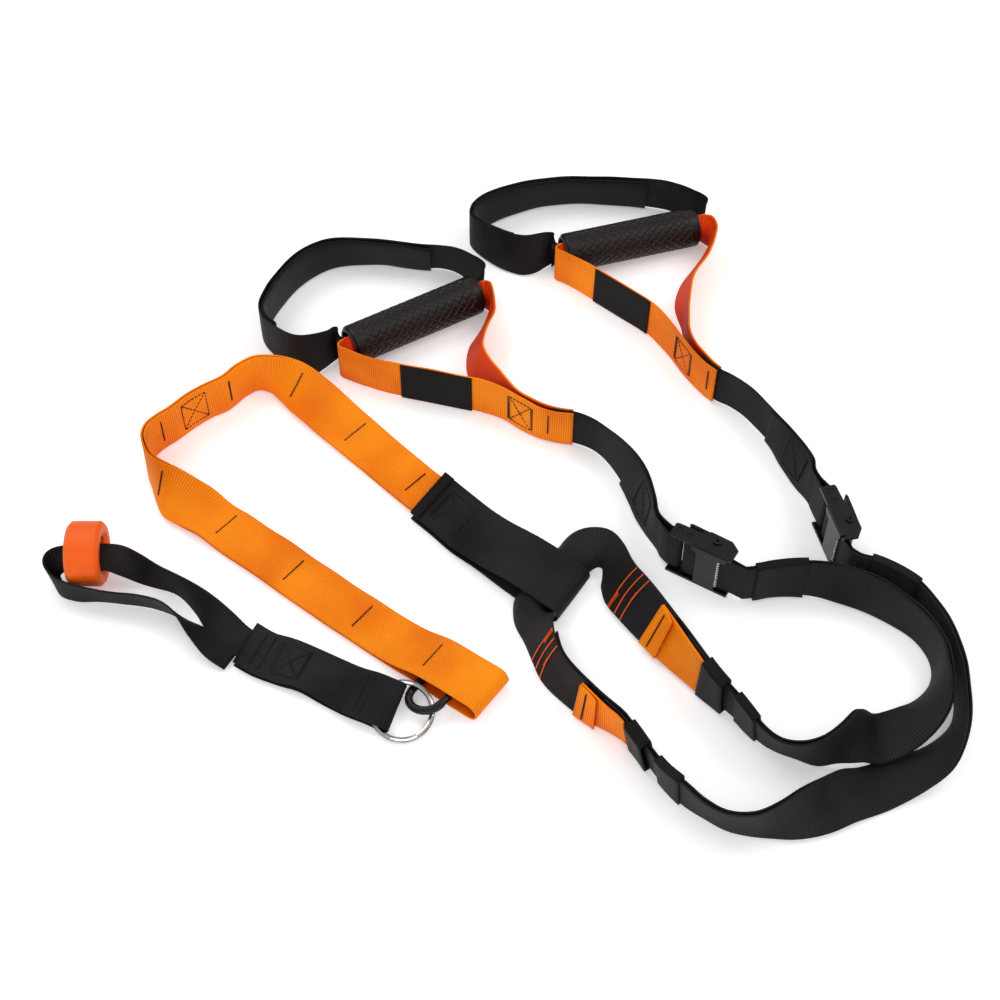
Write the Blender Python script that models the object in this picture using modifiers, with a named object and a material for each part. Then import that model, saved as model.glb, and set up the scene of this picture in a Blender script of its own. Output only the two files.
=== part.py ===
"""Suspension trainer laid out on a floor: a webbing anchor strap with a carabiner, a door
strap with its spool, a yoke through a connector loop, and two length straps that run out and
back through cam buckles to two handles with foot loops. Metres, +Z up."""

import math

import bmesh
import bpy
import numpy as np
from mathutils import Matrix

# Routes are lists of rows chosen by hand, in this unit: x, y, lift, toward, lean, curl.
# x, y is the middle of the webbing, and lift the height of its lowest edge above the floor.
# The width points toward this compass angle and rises from level by lean degrees. curl is
# how far the width is bent into a trough, in degrees, and may be left out.
ROUTE_UNIT = 0.001
LAYOUT_MIDDLE_X = -0.0073
LAYOUT_MIDDLE_Y = 0.0234

# Webbing
WEB_WIDTH = 0.038
WEB_THICKNESS = 0.0016
ANCHOR_WIDTH = 0.040
CONNECTOR_WIDTH = 0.048
YOKE_WIDTH = 0.040
DOOR_LOOP_WIDTH = 0.025
KEEPER_THICKNESS = 0.0014
PAD_THICKNESS = 0.0030
PAD_WIDTH = 0.0360
LABEL_THICKNESS = 0.0008
STRAP_STEP = 0.016
BEND_STEP_DEGREES = 24
FLOOR_CLEARANCE = 0.0009
CURL_STEP_DEGREES = 55
FOLD_STEPS = 8
SPLIT_ALONG = (1.0, 0.3, 0.1)
SPLIT_ACROSS = (0.2, 0.1, 1.0)
FINE_SAMPLES = 4000
GAP = 0.0003
LAYER_GAP = 0.0009
LAYER = WEB_THICKNESS + LAYER_GAP
YOKE_LAYER = LAYER + 2 * GAP

# Grips
GRIP_LENGTH = 0.124
GRIP_RADIUS = 0.01725
GRIP_BAND = 0.009
GRIP_GROOVE = 0.0006
SLEEVE_WALL = 0.0020
TUBE_WALL = 0.0015
TUBE_LIP = 0.0012
GRIP_SIDES = 32
TROUGH_COLUMNS = 4
TROUGH_NESTING = 0.0030
THROUGH_SHARES = (-0.015, 0.02, 0.5, 0.98, 1.0)
LEFT_END_SHARES = (0.49, 0.25, 0.02, -0.015)
RIGHT_END_SHARES = (1.015, 0.98, 0.75, 0.51)
BORE_RADIUS = GRIP_RADIUS - SLEEVE_WALL - GAP - TUBE_WALL
TROUGH_RADIUS = BORE_RADIUS - 2 * GAP - WEB_THICKNESS / 2
NESTED_RADIUS = TROUGH_RADIUS - TROUGH_NESTING

# Where each grip's left end lies, and its compass angle, as routes are written
GRIP_PLACES = {"left": (-127.0, 151.0, 30.3), "right": (55.6, 262.5, 16.3)}

# Cam buckles stand on a side plate. Where the near corner lies, and the compass angle
BUCKLE_PLACES = {"left": (127.6, -68.3, -31.0), "right": (246.0, -24.0, -76.5)}
BUCKLE_LENGTH = 0.052
SIDE_CLEARANCE = 0.0020
PLATE_THICKNESS = 0.0024
BUCKLE_WIDTH = WEB_WIDTH + 2 * SIDE_CLEARANCE + 2 * PLATE_THICKNESS
PLATE_DEPTH = 0.0175
BASE_THICKNESS = 0.0020
BASE_START = 0.0235
BASE_END = 0.0410
TOOTH_PITCH = 0.0029
TOOTH_REACH = 0.0022
TOOTH_COUNT = 12
HANDLE_BAR_PLACE = (0.0050, 0.0070)
HANDLE_BAR_RADIUS = 0.0025
TURN_BAR_PLACE = (0.0150, 0.0064)
TURN_BAR_RADIUS = 0.00225
AXLE_PLACE = (0.0347, 0.0114)
AXLE_RADIUS = 0.0020
AXLE_HEAD_RADIUS = 0.0034
AXLE_HEAD_HEIGHT = 0.0012
AXLE_SOCKET_RADIUS = 0.0014
NEAR_LAYER_DEPTH = 0.0031
FAR_LAYER_DEPTH = NEAR_LAYER_DEPTH + LAYER
CAM_RADIUS = AXLE_PLACE[1] - FAR_LAYER_DEPTH - WEB_THICKNESS / 2 - GAP
CAM_RELIEF = 0.0009
LEVER_SIDE_GAP = 0.0009
LEVER_BACK_PLACE = 0.0085
LEVER_DEPTH = 0.0195
LEVER_THICKNESS = 0.0022
LEVER_PRESS_DEGREES = 12
SPRING_WIRE_RADIUS = 0.0004
SPRING_RADIUS = 0.0030
SPRING_TURNS = 4
SPRING_SLOT = 0.0068

# Carabiner, a flat oval lying on its side
CARABINER_PLACE = (-53.0, -188.0, 47.0)
CARABINER_ROD = 0.00325
CARABINER_HALF_WIDTH = 0.01375
CARABINER_STRAIGHT = 0.031
CARABINER_FAR_HEIGHT = 0.0060
CARABINER_NEAR_HEIGHT = 0.0120
GATE_RADIUS = 0.0027
GATE_START = 0.0020
GATE_HINGE = 0.0250
TONGUE_THICKNESS = 0.0022
TONGUE_LENGTH = 0.0075
GATE_PIN_RADIUS = 0.0009
GATE_OPEN_DEGREES = 18

# Ring between the carabiner and the door strap
RING_PLACE = (-71.0, -199.5)
RING_RADIUS = 0.0220
RING_WIRE_RADIUS = 0.0020
RING_TILT_DEGREES = 13.0
RING_RISE_TOWARD = 100
RING_LIFT = 0.0004

# Door spool
SPOOL_PLACE = (-314.5, -71.3)
SPOOL_RADIUS = 0.025
SPOOL_BORE_RADIUS = 0.0145
SPOOL_WIDTH = 0.026
SPOOL_ROUNDING = 0.0025

COLLECTION = "suspension_trainer"

# Anchor strap: two layers, sewn in bars, from the connector to the carabiner
ANCHOR = [
    (-36, -20, 4.4, 50, 0), (-52, -4, 4.4, 49, 0), (-66, 10, 3.4, 48, 0), (-82, 27, 2.4, 46, 0),
    (-110, 55, 2.4, 45, 3), (-136, 80, 2.4, 45, 12), (-157, 99, 2.4, 45, 28),
    (-173, 109, 1.8, 45, 56), (-189, 115.5, 1.2, 47, 82), (-202, 117, 0.4, 50, 90),
    (-213, 110, 0.4, 50, 91), (-226, 95, 0.4, 50, 90), (-240, 86, 0.4, 50, 90),
    (-252, 76, 0.4, 50, 90), (-265, 62, 0.4, 50, 90), (-275, 53, 0.4, 50, 90),
    (-281, 45, 0.4, 50, 90), (-283, 35, 0.4, 50, 90), (-281, 25, 0.4, 50, 88),
    (-275.5, 12.5, 0.7, 50, 84), (-267, 1, 1.4, 50, 68), (-256, -7, 2.0, 50, 42),
    (-241, -13, 2.4, 50, 14), (-227, -22, 2.4, 51, -4), (-208, -36, 2.2, 51, 0),
    (-190, -50, 2.2, 51, 0), (-150, -81.5, 2.2, 51, 0), (-110, -113, 2.2, 51, 0),
    (-84, -132, 2.2, 52, 0), (-66, -145, 3.2, 53, 0), (-50, -156, 5.6, 53, 0),
    (-38, -166, 7.4, 53, 0), (-25, -176, 8.2, 53, 0), (-12, -185, 8.2, 53, 0),
]
ANCHOR_FOLD_RADIUS = 0.0078
ANCHOR_FLAT_OPEN = 0.020
ANCHOR_OPEN_LENGTH = 0.085

# Connector loop, sewn over the anchor strap's end and round the yoke
CONNECTOR = [
    (-57, 0, 4.4, 56, 0), (-38, -19, 4.4, 54, 0), (-22, -36, 5.4, 52, 0), (-5, -51, 7.2, 54, 0),
    (11, -65, 8.6, 56, 0), (30, -80.5, 9.0, 57, 0), (48.5, -96, 8.8, 57, 0),
]
CONNECTOR_FOLD_RADIUS = 0.0084
CONNECTOR_FLAT_OPEN = 0.032
CONNECTOR_OPEN_LENGTH = 0.075

# The line of the load, all in one run: from the right buckle round the outer loop, up the
# yoke's left branch, through the connector, down its right branch and round the inner loop
OUTER_LOOP = [
    (264.8, -79.5, 4.4, 260, -90), (270, -83.5, 3.8, 240, -90), (282, -87, 2.8, 226, -90),
    (297, -95, 2.2, 226, -90), (312, -108, 2.2, 222, -90), (324, -127, 0.8, 215, -90),
    (332, -150, 0.4, 200, -90), (335, -171, 0.4, 180, -90), (334.5, -193, 0.4, 162, -89),
    (330, -213, 0.4, 152, -80), (320.5, -230, 0.6, 146, -60), (306, -243.5, 1.0, 140, -32),
    (286, -252, 1.2, 134, -10), (264, -260.5, 1.2, 124, 0), (243, -269, 1.2, 110, 16),
    (225, -279, 1.2, 102, 32), (208, -287, 1.0, 96, 54), (191, -293, 0.8, 92, 78),
    (174, -296, 0.6, 88, 95), (156, -293, 0.8, 76, 102), (141, -284.5, 1.8, 60, 102),
    (128, -273, 2.2, 46, 98), (117, -261, 2.2, 38, 100), (107, -246, 2.8, 32, 101),
    (99, -232, 2.8, 32, 101), (90, -219, 2.2, 32, 99), (79, -209, 0.8, 36, 94),
    (65, -198, 0.4, 36, 84), (51, -184, 0.4, 30, 78), (40, -168, 0.4, 22, 72),
]
YOKE_RUN = [
    (34, -150, 1.6, 14, 66), (29, -134, 1.6, 6, 56, 30), (24.5, -120, 3.8, -14, 30, 80),
    (24, -107.5, 10.4, -36, 2, 140), (31.6, -97.5, 11.8, -40, 0, 150),
    (39.3, -88.3, 11.9, -40, 0, 150), (46, -78.3, 12.1, -40, 0, 150),
    (54.5, -67, 12.0, -42, 0, 140), (67.5, -57.5, 9.4, -56, -12, 100),
    (80, -63, 3.8, -92, -32, 50),
    (87.5, -78, 2.6, -126, -44, 10), (93, -94, 2.2, -139, -46), (101, -106, 2.0, -142, -46),
]
INNER_LOOP = [
    (114, -126, 1.2, -142, -54), (129, -148, 1.0, -140, -68), (143, -168, 1.8, -138, -80),
    (154, -183, 2.4, -136, -90), (163, -194, 2.4, -136, -95), (171, -204, 2.9, -134, -98),
    (179, -216, 2.9, -132, -100), (188, -227, 2.2, -126, -105), (198, -233.5, 0.8, -110, -109),
    (211, -238, 0.8, -96, -105), (225, -239.5, 1.6, -92, -90), (239, -235, 5.4, -90, -74),
    (254, -228, 8.2, -86, -38), (270, -225, 7.4, -82, -7), (286, -219.5, 7.0, -70, 9),
    (300, -211.5, 5.6, -54, 27), (312, -200, 3.0, -38, 48), (319, -187, 1.0, -28, 67),
    (322.5, -174, 0.4, -12, 80), (323.5, -161, 0.4, 4, 86), (320.5, -148, 0.4, 20, 90),
    (313, -134, 0.4, 35, 90), (299, -119, 0.4, 50, 86), (280, -105, 0.6, 62, 80),
    (260, -96.5, 1.4, 72, 80), (242, -92, 2.2, 80, 84), (222, -90.5, 2.4, 86, 88),
    (205, -92, 2.6, 90, 90), (192, -95.5, 3.6, 90, 90), (183.5, -96.9, 4.4, 90, 90),
]
# Where pieces begin and end along the load line, as x and y of the nearest place
PLACES = {
    "right strap end": (35, -153), "left yoke end": (62, -196), "right yoke end": (124, -141),
    "left strap end": (97, -100),
}

# Buckle straps, from the handle to the buckle's handle bar, then a return layer
BUCKLE_STRAPS = {
    "left": [
        (41, 62.6, 0.4, 90, 90), (50, 60.8, 0.4, 90, 90), (60, 58.9, 0.4, 90, 90),
        (75, 51.5, 0.4, 80, 90), (88, 38.5, 0.4, 40, 88), (96.5, 27, 0.4, 25, 82),
        (102, 18, 0.4, 18, 77), (107, 7, 0.4, 18, 74), (110.5, -4, 0.6, 18, 73),
        (113.5, -16, 1.2, 20, 74), (117, -30, 2.8, 24, 80),
    ],
    "right": [
        (166, 121.3, 0.4, 45, 90), (173, 111.9, 0.4, 45, 90), (180, 105.2, 0.4, 45, 90),
        (190, 98.5, 0.4, 45, 90), (201, 88.5, 0.4, 35, 90), (214, 70, 0.4, 25, 90),
        (224, 53, 0.4, 20, 88), (231.5, 37, 0.4, 14, 81), (238, 23, 0.8, 10, 77),
        (243, 9, 2.2, 10, 80),
    ],
}
# In a buckle's own frame: along it and away from the viewer, in route units
BAR_APPROACH = {
    "left": ([(-16.4, 15.9), (-8, 12.4), (-1, 10.7)], [(-1, 3.5), (-8, 6.6), (-17.5, 14.3)]),
    "right": ([(-20.9, 4.8), (-12, 6.2), (-4, 9.3)], [(-4, 3.1), (-12, 2.9), (-20.9, 2.9)]),
}
RETURN_LENGTH = 0.065

# Handle straps: the front run, its fold into the grip, the rear run down from the grip
HANDLE_STRAPS = {
    "left": (
        [
            (59, 56.8, 0.4, 90, 90), (46, 58.8, 0.4, 90, 90), (34, 62.8, 0.4, 90, 90),
            (18, 73, 0.4, 90, 88), (2, 85, 0.4, 90, 88), (-14, 92.5, 0.4, 90, 87),
            (-34, 98, 0.4, 90, 87), (-60, 105, 0.4, 90, 87), (-84, 111, 0.4, 90, 88),
            (-104, 117, 0.4, 90, 90), (-119, 123.5, 0.4, 90, 90), (-128, 128.3, 0.4, 90, 90),
            (-132.6, 131, 0.4, 90, 90), (-134.2, 133.6, 0.4, 90, 90),
            (-132, 135.6, 0.4, 90, 90, -20), (-127.5, 136.9, 0.4, 90, 90, -80),
        ],
        [
            (-11.4, 203.9, 0.4, 0, 90, -80), (-9.4, 202.9, 0.4, 0, 90, -30),
            (-8.0, 200, 0.4, 0, 88, -10), (-8, 194, 0.4, 0, 82), (-9.6, 186, 0.4, 0, 74),
            (-12, 176, 0.4, 0, 66), (-17.5, 163, 0.4, 0, 63), (-20.5, 147, 0.4, 8, 65),
            (-20, 132, 0.4, 20, 70), (-14, 118, 0.4, 28, 72), (-5, 105, 0.4, 34, 76),
            (4, 93, 0.4, 45, 82), (14, 82.5, 0.4, 60, 88), (24, 75, 0.4, 90, 90),
            (36, 67.4, 0.4, 90, 90), (47, 63.6, 0.4, 90, 90), (59, 61.4, 0.4, 90, 90),
        ],
    ),
    "right": (
        [
            (177, 103.5, 0.4, 50, 90), (171, 109.6, 0.4, 50, 90), (163, 120.5, 0.4, 50, 90),
            (155, 134, 0.4, 50, 90), (143, 158, 0.4, 50, 88), (128, 181, 0.4, 50, 88),
            (105, 202, 0.4, 50, 88), (81, 223, 0.4, 50, 88), (64, 236.5, 0.4, 90, 90),
            (54.5, 243.2, 0.4, 90, 90), (50.2, 245.8, 0.4, 90, 90), (48.8, 248, 0.4, 90, 90),
            (50.6, 249.6, 0.4, 90, 90, -20), (54.5, 250, 0.4, 90, 90, -80),
        ],
        [
            (182, 286.4, 0.4, 0, 90, -90), (185.5, 285.6, 0.4, 0, 90, -40),
            (187.6, 282.8, 0.4, 0, 88, -15), (187.4, 277, 0.4, 0, 80), (184, 268, 0.4, 0, 73),
            (179, 257, 0.4, 0, 66), (173, 246, 0.4, 0, 62), (166.5, 234, 0.4, 0, 63),
            (161.5, 222, 0.4, 5, 66), (159, 211, 0.4, 10, 70), (158.5, 200, 0.4, 15, 76),
            (158.8, 189, 0.4, 20, 82), (158.6, 178, 0.4, 25, 86), (158, 166, 0.4, 30, 88),
            (158, 155, 0.4, 40, 90), (159.6, 144.5, 0.4, 50, 90), (163.2, 134, 0.4, 50, 90),
            (169.4, 122.6, 0.4, 50, 90), (175.4, 113.8, 0.4, 50, 90), (181, 107.6, 0.4, 50, 90),
        ],
    ),
}

# Foot straps: out of the grip's left mouth, round and up to its right mouth
FOOT_STRAPS = {
    "left": [
        (-135.4, 158.2, 0.4, 60, 90, -120), (-139.4, 156.6, 0.4, 60, 90, -70),
        (-141.6, 152.4, 0.4, 60, 82, -30), (-146, 146, 0.4, 60, 68), (-156.5, 140.5, 0.4, 80, 66),
        (-171, 141.2, 0.4, 60, 80), (-184, 149, 0.4, 50, 86), (-192, 157, 0.4, 50, 88),
        (-200, 167, 0.4, 20, 90), (-203.5, 179, 0.4, 20, 90), (-199.5, 198, 0.4, 20, 90),
        (-192, 216, 0.4, -60, 90), (-181.5, 234, 0.4, -60, 90), (-167.5, 250, 0.4, -90, 88),
        (-151, 260, 0.4, -90, 84), (-135, 263.7, 0.4, -90, 80), (-117, 264, 0.4, -90, 77),
        (-100, 263, 0.4, -90, 75), (-85, 260.2, 0.4, -90, 76), (-68, 256.8, 0.4, -90, 76),
        (-51, 255.6, 0.4, -95, 76), (-41, 252.6, 0.4, -110, 79), (-32, 246.8, 0.4, -130, 83),
        (-24, 239.6, 0.4, -130, 87), (-17.8, 232.2, 0.4, -130, 90, -20),
        (-16.6, 228.2, 0.4, -130, 90, -50), (-18.4, 225.6, 0.4, -130, 90, -90),
    ],
    "right": [
        (48.8, 271.5, 0.4, 60, 90, -120), (44.5, 270.9, 0.4, 60, 90, -70),
        (41, 266.8, 0.4, 70, 84, -30), (34, 261.6, 0.4, 80, 72), (22, 258.8, 0.4, 80, 68),
        (8, 262, 0.4, 70, 74), (-6, 270, 0.4, 60, 80), (-18, 279, 0.4, 50, 86),
        (-26, 290, 0.4, 20, 90), (-25, 302, 0.4, 20, 90), (-18, 312, 0.4, -30, 90),
        (-4, 323, 0.4, -60, 88), (14, 332, 0.4, -80, 84), (36, 339.6, 0.4, -90, 80),
        (60, 343.4, 0.4, -90, 78), (86, 343.4, 0.4, -90, 78), (110, 341.4, 0.4, -90, 80),
        (134, 338.6, 0.4, -90, 82), (152, 334.4, 0.4, -100, 84), (165, 327.6, 0.4, -120, 87),
        (174, 320.2, 0.4, -130, 90), (179.6, 314.6, 0.4, -130, 90, -20),
        (181, 311.2, 0.4, -130, 90, -50), (179, 309.2, 0.4, -130, 90, -90),
    ],
}
PAD_SPANS = {"left": ((-190, 155), (-62, 256)), "right": ((10, 261), (132, 339))}
LABEL_SPANS = {"left": ((-80, 110), (-24, 95)), "right": ((83, 221), (127, 182))}
TAB_SPANS = {"left": ((117, -130), (150, -177)), "right": ((60, -194), (93, -223))}
KEEPER_SPANS = {
    "left": [((192, -95), (232, -90)), ((150, -178), (164, -195)), ((171, -204), (183, -221))],
    "right": [((280, -86), (311, -107)), ((97, -228), (106, -244)), ((113, -255), (127, -272))],
}

# Door strap, from the ring to where its narrow strands are sewn in, and those strands
DOOR = [
    (-190, -140, 3.4, 66, 0), (-176, -149, 3.4, 66, 0), (-160, -156, 3.4, 70, 4),
    (-140, -164, 3.0, 66, -4), (-120, -175, 3.0, 66, 2), (-106, -184, 4.4, 67, 7),
    (-92, -191, 5.4, 69, 11.6), (-78.4, -196.8, 3.8, 69, 11.6),
]
DOOR_FOLD_RADIUS = RING_WIRE_RADIUS + 3 * GAP + WEB_THICKNESS / 2
DOOR_FLAT_OPEN = 0.016
DOOR_OPEN_LENGTH = 0.044
DOOR_STRANDS = [
    (-178, -146, 3.4, 62, 0), (-194, -137, 3.0, 60, 2), (-210, -124, 2.0, 50, 30),
    (-228, -106, 0.8, 50, 66), (-246, -92, 0.4, 70, 84), (-262, -84, 0.4, 84, 74),
    (-275, -77, 2.4, 96, 52), (-288, -72, 10.0, 94, 22), (-300, -71.3, 19.6, 90, 0),
    (-314, -71.3, 19.8, 90, 0), (-329, -71.3, 19.4, 90, 0), (-336, -72, 12.0, 92, 16),
    (-341, -76, 5.0, 130, 48), (-342.5, -83, 1.2, 180, 76), (-337, -92.5, 0.4, 226, 88),
    (-323, -99.5, 0.4, 262, 86),
    (-306, -102, 0.4, 268, 78), (-288, -104.5, 0.4, 262, 74), (-270, -107, 0.4, 256, 76),
    (-254, -112, 0.4, 246, 76), (-240, -121, 0.6, 240, 66), (-226, -133, 1.2, 240, 40),
    (-212, -144, 2.0, 240, 14), (-198, -151, 2.2, 240, 0),
]

MIDDLE, ACROSS, FACE, CURL = slice(0, 3), slice(3, 6), slice(6, 9), 9
parts = bpy.data.collections.new(COLLECTION)
cutters = bpy.data.collections.new("cutters")


def clear_scene():
    """Empty the scene and hang the two collections in it."""
    for item in list(bpy.data.objects):
        bpy.data.objects.remove(item)
    for collection in (parts, cutters):
        bpy.context.scene.collection.children.link(collection)


def material(name, color, roughness, metallic=0.0):
    """A plain Principled finish."""
    made = bpy.data.materials.get(name) or bpy.data.materials.new(name)
    made.use_nodes = True
    shader = made.node_tree.nodes["Principled BSDF"]
    shader.inputs["Base Color"].default_value = (*color, 1)
    shader.inputs["Roughness"].default_value = roughness
    shader.inputs["Metallic"].default_value = metallic
    return made


def orange_web():
    return material("orange_webbing", (0.93, 0.22, 0.01), 0.7)


def black_web():
    return material("black_webbing", (0.025, 0.022, 0.023), 0.8)


def black_metal():
    return material("black_coated_steel", (0.02, 0.02, 0.022), 0.4, 0.6)


def bright_steel():
    return material("bright_steel", (0.7, 0.7, 0.7), 0.2, 1.0)


def place(name, mesh, finish, collection=parts):
    """Put a mesh in the scene as one named piece."""
    piece = bpy.data.objects.new(name, mesh)
    piece.data.materials.append(finish)
    collection.objects.link(piece)
    return piece


def unit(vectors):
    return vectors / np.linalg.norm(vectors, axis=-1, keepdims=True)


def half_height(width, curl):
    """Half the height of a webbing on its edge, bent by curl across its width."""
    bend = np.maximum(np.abs(curl), 1e-6)
    return width / bend * np.sin(bend / 2)


def follow(rows, width, middle_height=None):
    """Stations along a smooth run through the rows, closer where it bends: the webbing's
    middle, its width direction, its face direction and its curl, one row a station."""
    table = np.array([list(row) + [0] * (6 - len(row)) for row in rows], float)
    toward, lean, curl = np.radians(table[:, 3]), np.radians(table[:, 4]), np.radians(table[:, 5])
    points = table[:, :3] * ROUTE_UNIT
    points[:, 0] -= LAYOUT_MIDDLE_X
    points[:, 1] -= LAYOUT_MIDDLE_Y
    points[:, 2] += FLOOR_CLEARANCE + half_height(width, curl) * np.abs(np.sin(lean))
    if middle_height is not None:
        held = np.array([row[2] < 0 for row in rows])
        points[held, 2] = middle_height
    values = np.column_stack([points, toward, lean, curl])
    spans = np.linalg.norm(np.diff(points, axis=0), axis=1)[:, None]
    slopes = np.diff(values, axis=0) / spans
    tangents = np.vstack([slopes[:1], (slopes[:-1] * spans[1:] + slopes[1:] * spans[:-1])
                          / (spans[1:] + spans[:-1]), slopes[-1:]])
    reach = np.append(0, np.cumsum(spans))
    run = np.linspace(0, reach[-1], FINE_SAMPLES)
    index = np.clip(np.searchsorted(reach, run, side="right") - 1, 0, len(spans) - 1)
    u = ((run - reach[index])[:, None] / spans[index])
    fine = ((1 + 2 * u) * (1 - u) ** 2 * values[index] + u * u * (3 - 2 * u) * values[index + 1]
            + u * (1 - u) * spans[index] * ((1 - u) * tangents[index] - u * tangents[index + 1]))
    along = unit(np.gradient(fine[:, :3], axis=0))
    toward, lean = fine[:, 3], fine[:, 4]
    across = np.column_stack([np.cos(lean) * np.cos(toward), np.cos(lean) * np.sin(toward),
                              np.sin(lean)])
    face = unit(np.cross(along, across))
    frames = np.column_stack([fine[:, :3], across, face, fine[:, 5]])
    steps = np.linalg.norm(np.diff(frames[:, MIDDLE], axis=0), axis=1)
    turns = np.linalg.norm(np.diff(face, axis=0), axis=1)
    curls = np.abs(np.diff(fine[:, 5])) / math.radians(CURL_STEP_DEGREES)
    turns = turns / math.radians(BEND_STEP_DEGREES)
    cost = np.append(0, np.cumsum(steps / STRAP_STEP + turns + curls))
    picks = np.linspace(0, cost[-1], math.ceil(cost[-1]) + 1)
    return tidy(np.column_stack([np.interp(picks, cost, frames[:, c]) for c in range(10)]))


def tidy(frames):
    """Stations with both directions back at unit length."""
    frames[:, ACROSS] = unit(frames[:, ACROSS])
    frames[:, FACE] = unit(frames[:, FACE])
    return frames


def shifted(frames, offset):
    """Stations moved along their face direction."""
    moved = frames.copy()
    moved[:, MIDDLE] += moved[:, FACE] * np.reshape(offset, (-1, 1))
    return moved


def backward(frames):
    return frames[::-1].copy()


def turned(frames, radius):
    """The half circle at the end of a run, from its back face round to its front."""
    end = frames[-1]
    ahead = np.cross(end[ACROSS], end[FACE])
    angles = np.linspace(0, math.pi, FOLD_STEPS + 1)[1:-1]
    out = -np.outer(np.cos(angles), end[FACE]) + np.outer(np.sin(angles), ahead)
    arc = np.tile(end, (len(angles), 1))
    arc[:, MIDDLE] += radius * out
    arc[:, FACE] = -out
    return arc


def opened(frames, closed, radius, flat, length):
    """Half the gap between two layers, which grows from closed to radius at the fold."""
    steps = np.linalg.norm(np.diff(frames[:, MIDDLE], axis=0), axis=1)
    left = np.append(np.cumsum(steps[::-1])[::-1], 0)
    share = np.clip((left - flat) / (length - flat), 0, 1)
    return closed + (radius - closed) * (1 + np.cos(math.pi * share)) / 2


def folded(frames, gaps):
    """Out along one side of the stations, round their end and back along the other."""
    ahead = shifted(frames, -gaps)
    back = backward(shifted(frames, gaps))
    back[:, FACE] *= -1
    return np.vstack([ahead, turned(frames, gaps[-1]), back])


def nearest(frames, spot):
    """The number of the station nearest to a place given in route units."""
    goal = np.array(spot) * ROUTE_UNIT - (LAYOUT_MIDDLE_X, LAYOUT_MIDDLE_Y)
    return int(np.argmin(np.linalg.norm(frames[:, :2] - goal, axis=1)))


def between(frames, spots):
    first, last = sorted(nearest(frames, spot) for spot in spots)
    return frames[first:last + 1]


def grid_mesh(name, points, ring=False):
    """An open sheet through a grid of points, joined across where it is a ring. Twisted cells
    are split the same way whichever way their rows run, so that layers lie along each other."""
    rows, columns = points.shape[:2]
    faces = []
    for r in range(rows - 1):
        for c in range(columns if ring else columns - 1):
            d = (c + 1) % columns
            near, far, beside, beyond = (r * columns + c, (r + 1) * columns + c,
                                         r * columns + d, (r + 1) * columns + d)
            onward = points[r + 1, c] + points[r + 1, d] - points[r, c] - points[r, d]
            over = points[r, d] + points[r + 1, d] - points[r, c] - points[r + 1, c]
            if np.dot(onward, SPLIT_ALONG) * np.dot(over, SPLIT_ACROSS) > 0:
                faces += [(near, far, beyond), (near, beyond, beside)]
            else:
                faces += [(near, far, beside), (far, beyond, beside)]
    mesh = bpy.data.meshes.new(name)
    mesh.from_pydata(points.reshape(-1, 3).tolist(), [], faces)
    return mesh


def thicken(piece, thickness, offset):
    """Give an open sheet its thickness."""
    solid = piece.modifiers.new("Thickness", "SOLIDIFY")
    solid.thickness = thickness
    solid.offset = offset
    solid.use_even_offset = True
    return piece


def webbing(name, frames, width, finish, thickness=WEB_THICKNESS, columns=1):
    """A strap along its stations, bent across its width where they curl."""
    across = np.linspace(-width / 2, width / 2, columns + 1)[None, :, None]
    bend = np.where(np.abs(frames[:, CURL]) < 1e-4, 1e-4, frames[:, CURL])[:, None, None] / width
    grid = (frames[:, None, MIDDLE] + frames[:, None, ACROSS] * np.sin(across * bend) / bend
            + frames[:, None, FACE] * (1 - np.cos(across * bend)) / bend)
    return thicken(place(name, grid_mesh(name, grid), finish), thickness, 0)


def keeper(name, frames, width, low, high, finish):
    """A closed band round layers that lie between two heights along the face direction."""
    half = width / 2 + GAP
    corners = [(-half, low - GAP), (half, low - GAP), (half, high + GAP), (-half, high + GAP)]
    grid = np.stack([frames[:, MIDDLE] + frames[:, ACROSS] * a + frames[:, FACE] * f
                     for a, f in corners], axis=1)
    return thicken(place(name, grid_mesh(name, grid, ring=True), finish), KEEPER_THICKNESS, -1)


def round_out(profile, name, finish, sides):
    """A turned piece about X from rows of distance along and radius, as a Screw profile."""
    mesh = bpy.data.meshes.new(name)
    count = len(profile)
    mesh.from_pydata([(x, 0, r) for x, r in profile], [],
                     [(i, (i + 1) % count) for i in range(count)])
    piece = place(name, mesh, finish)
    screw = piece.modifiers.new("Turn", "SCREW")
    screw.axis = "X"
    screw.steps = sides
    screw.render_steps = sides
    screw.use_merge_vertices = True
    screw.merge_threshold = 0.00001
    screw.use_normal_flip = True
    return piece


def baked(piece):
    """The piece with its modifiers applied, so that it can be cut or joined."""
    graph = bpy.context.evaluated_depsgraph_get()
    mesh = bpy.data.meshes.new_from_object(piece.evaluated_get(graph))
    work = bmesh.new()
    work.from_mesh(mesh)
    bmesh.ops.remove_doubles(work, verts=work.verts, dist=0.00001)
    bmesh.ops.recalc_face_normals(work, faces=work.faces)
    work.to_mesh(mesh)
    work.free()
    name, matrix, homes = piece.name, piece.matrix_world.copy(), piece.users_collection
    bpy.data.objects.remove(piece)
    made = bpy.data.objects.new(name, mesh)
    made.matrix_world = matrix
    homes[0].objects.link(made)
    return made


def prism(name, outline, low, high, finish, collection=parts):
    """A flat outline in x and y given a height."""
    work = bmesh.new()
    loop = [work.verts.new((x, y, low)) for x, y in outline]
    face = work.faces.new(loop)
    raised = bmesh.ops.extrude_face_region(work, geom=[face])
    tops = [item for item in raised["geom"] if isinstance(item, bmesh.types.BMVert)]
    bmesh.ops.translate(work, verts=tops, vec=(0, 0, high - low))
    bmesh.ops.recalc_face_normals(work, faces=work.faces)
    mesh = bpy.data.meshes.new(name)
    work.to_mesh(mesh)
    work.free()
    return place(name, mesh, finish, collection)


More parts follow.
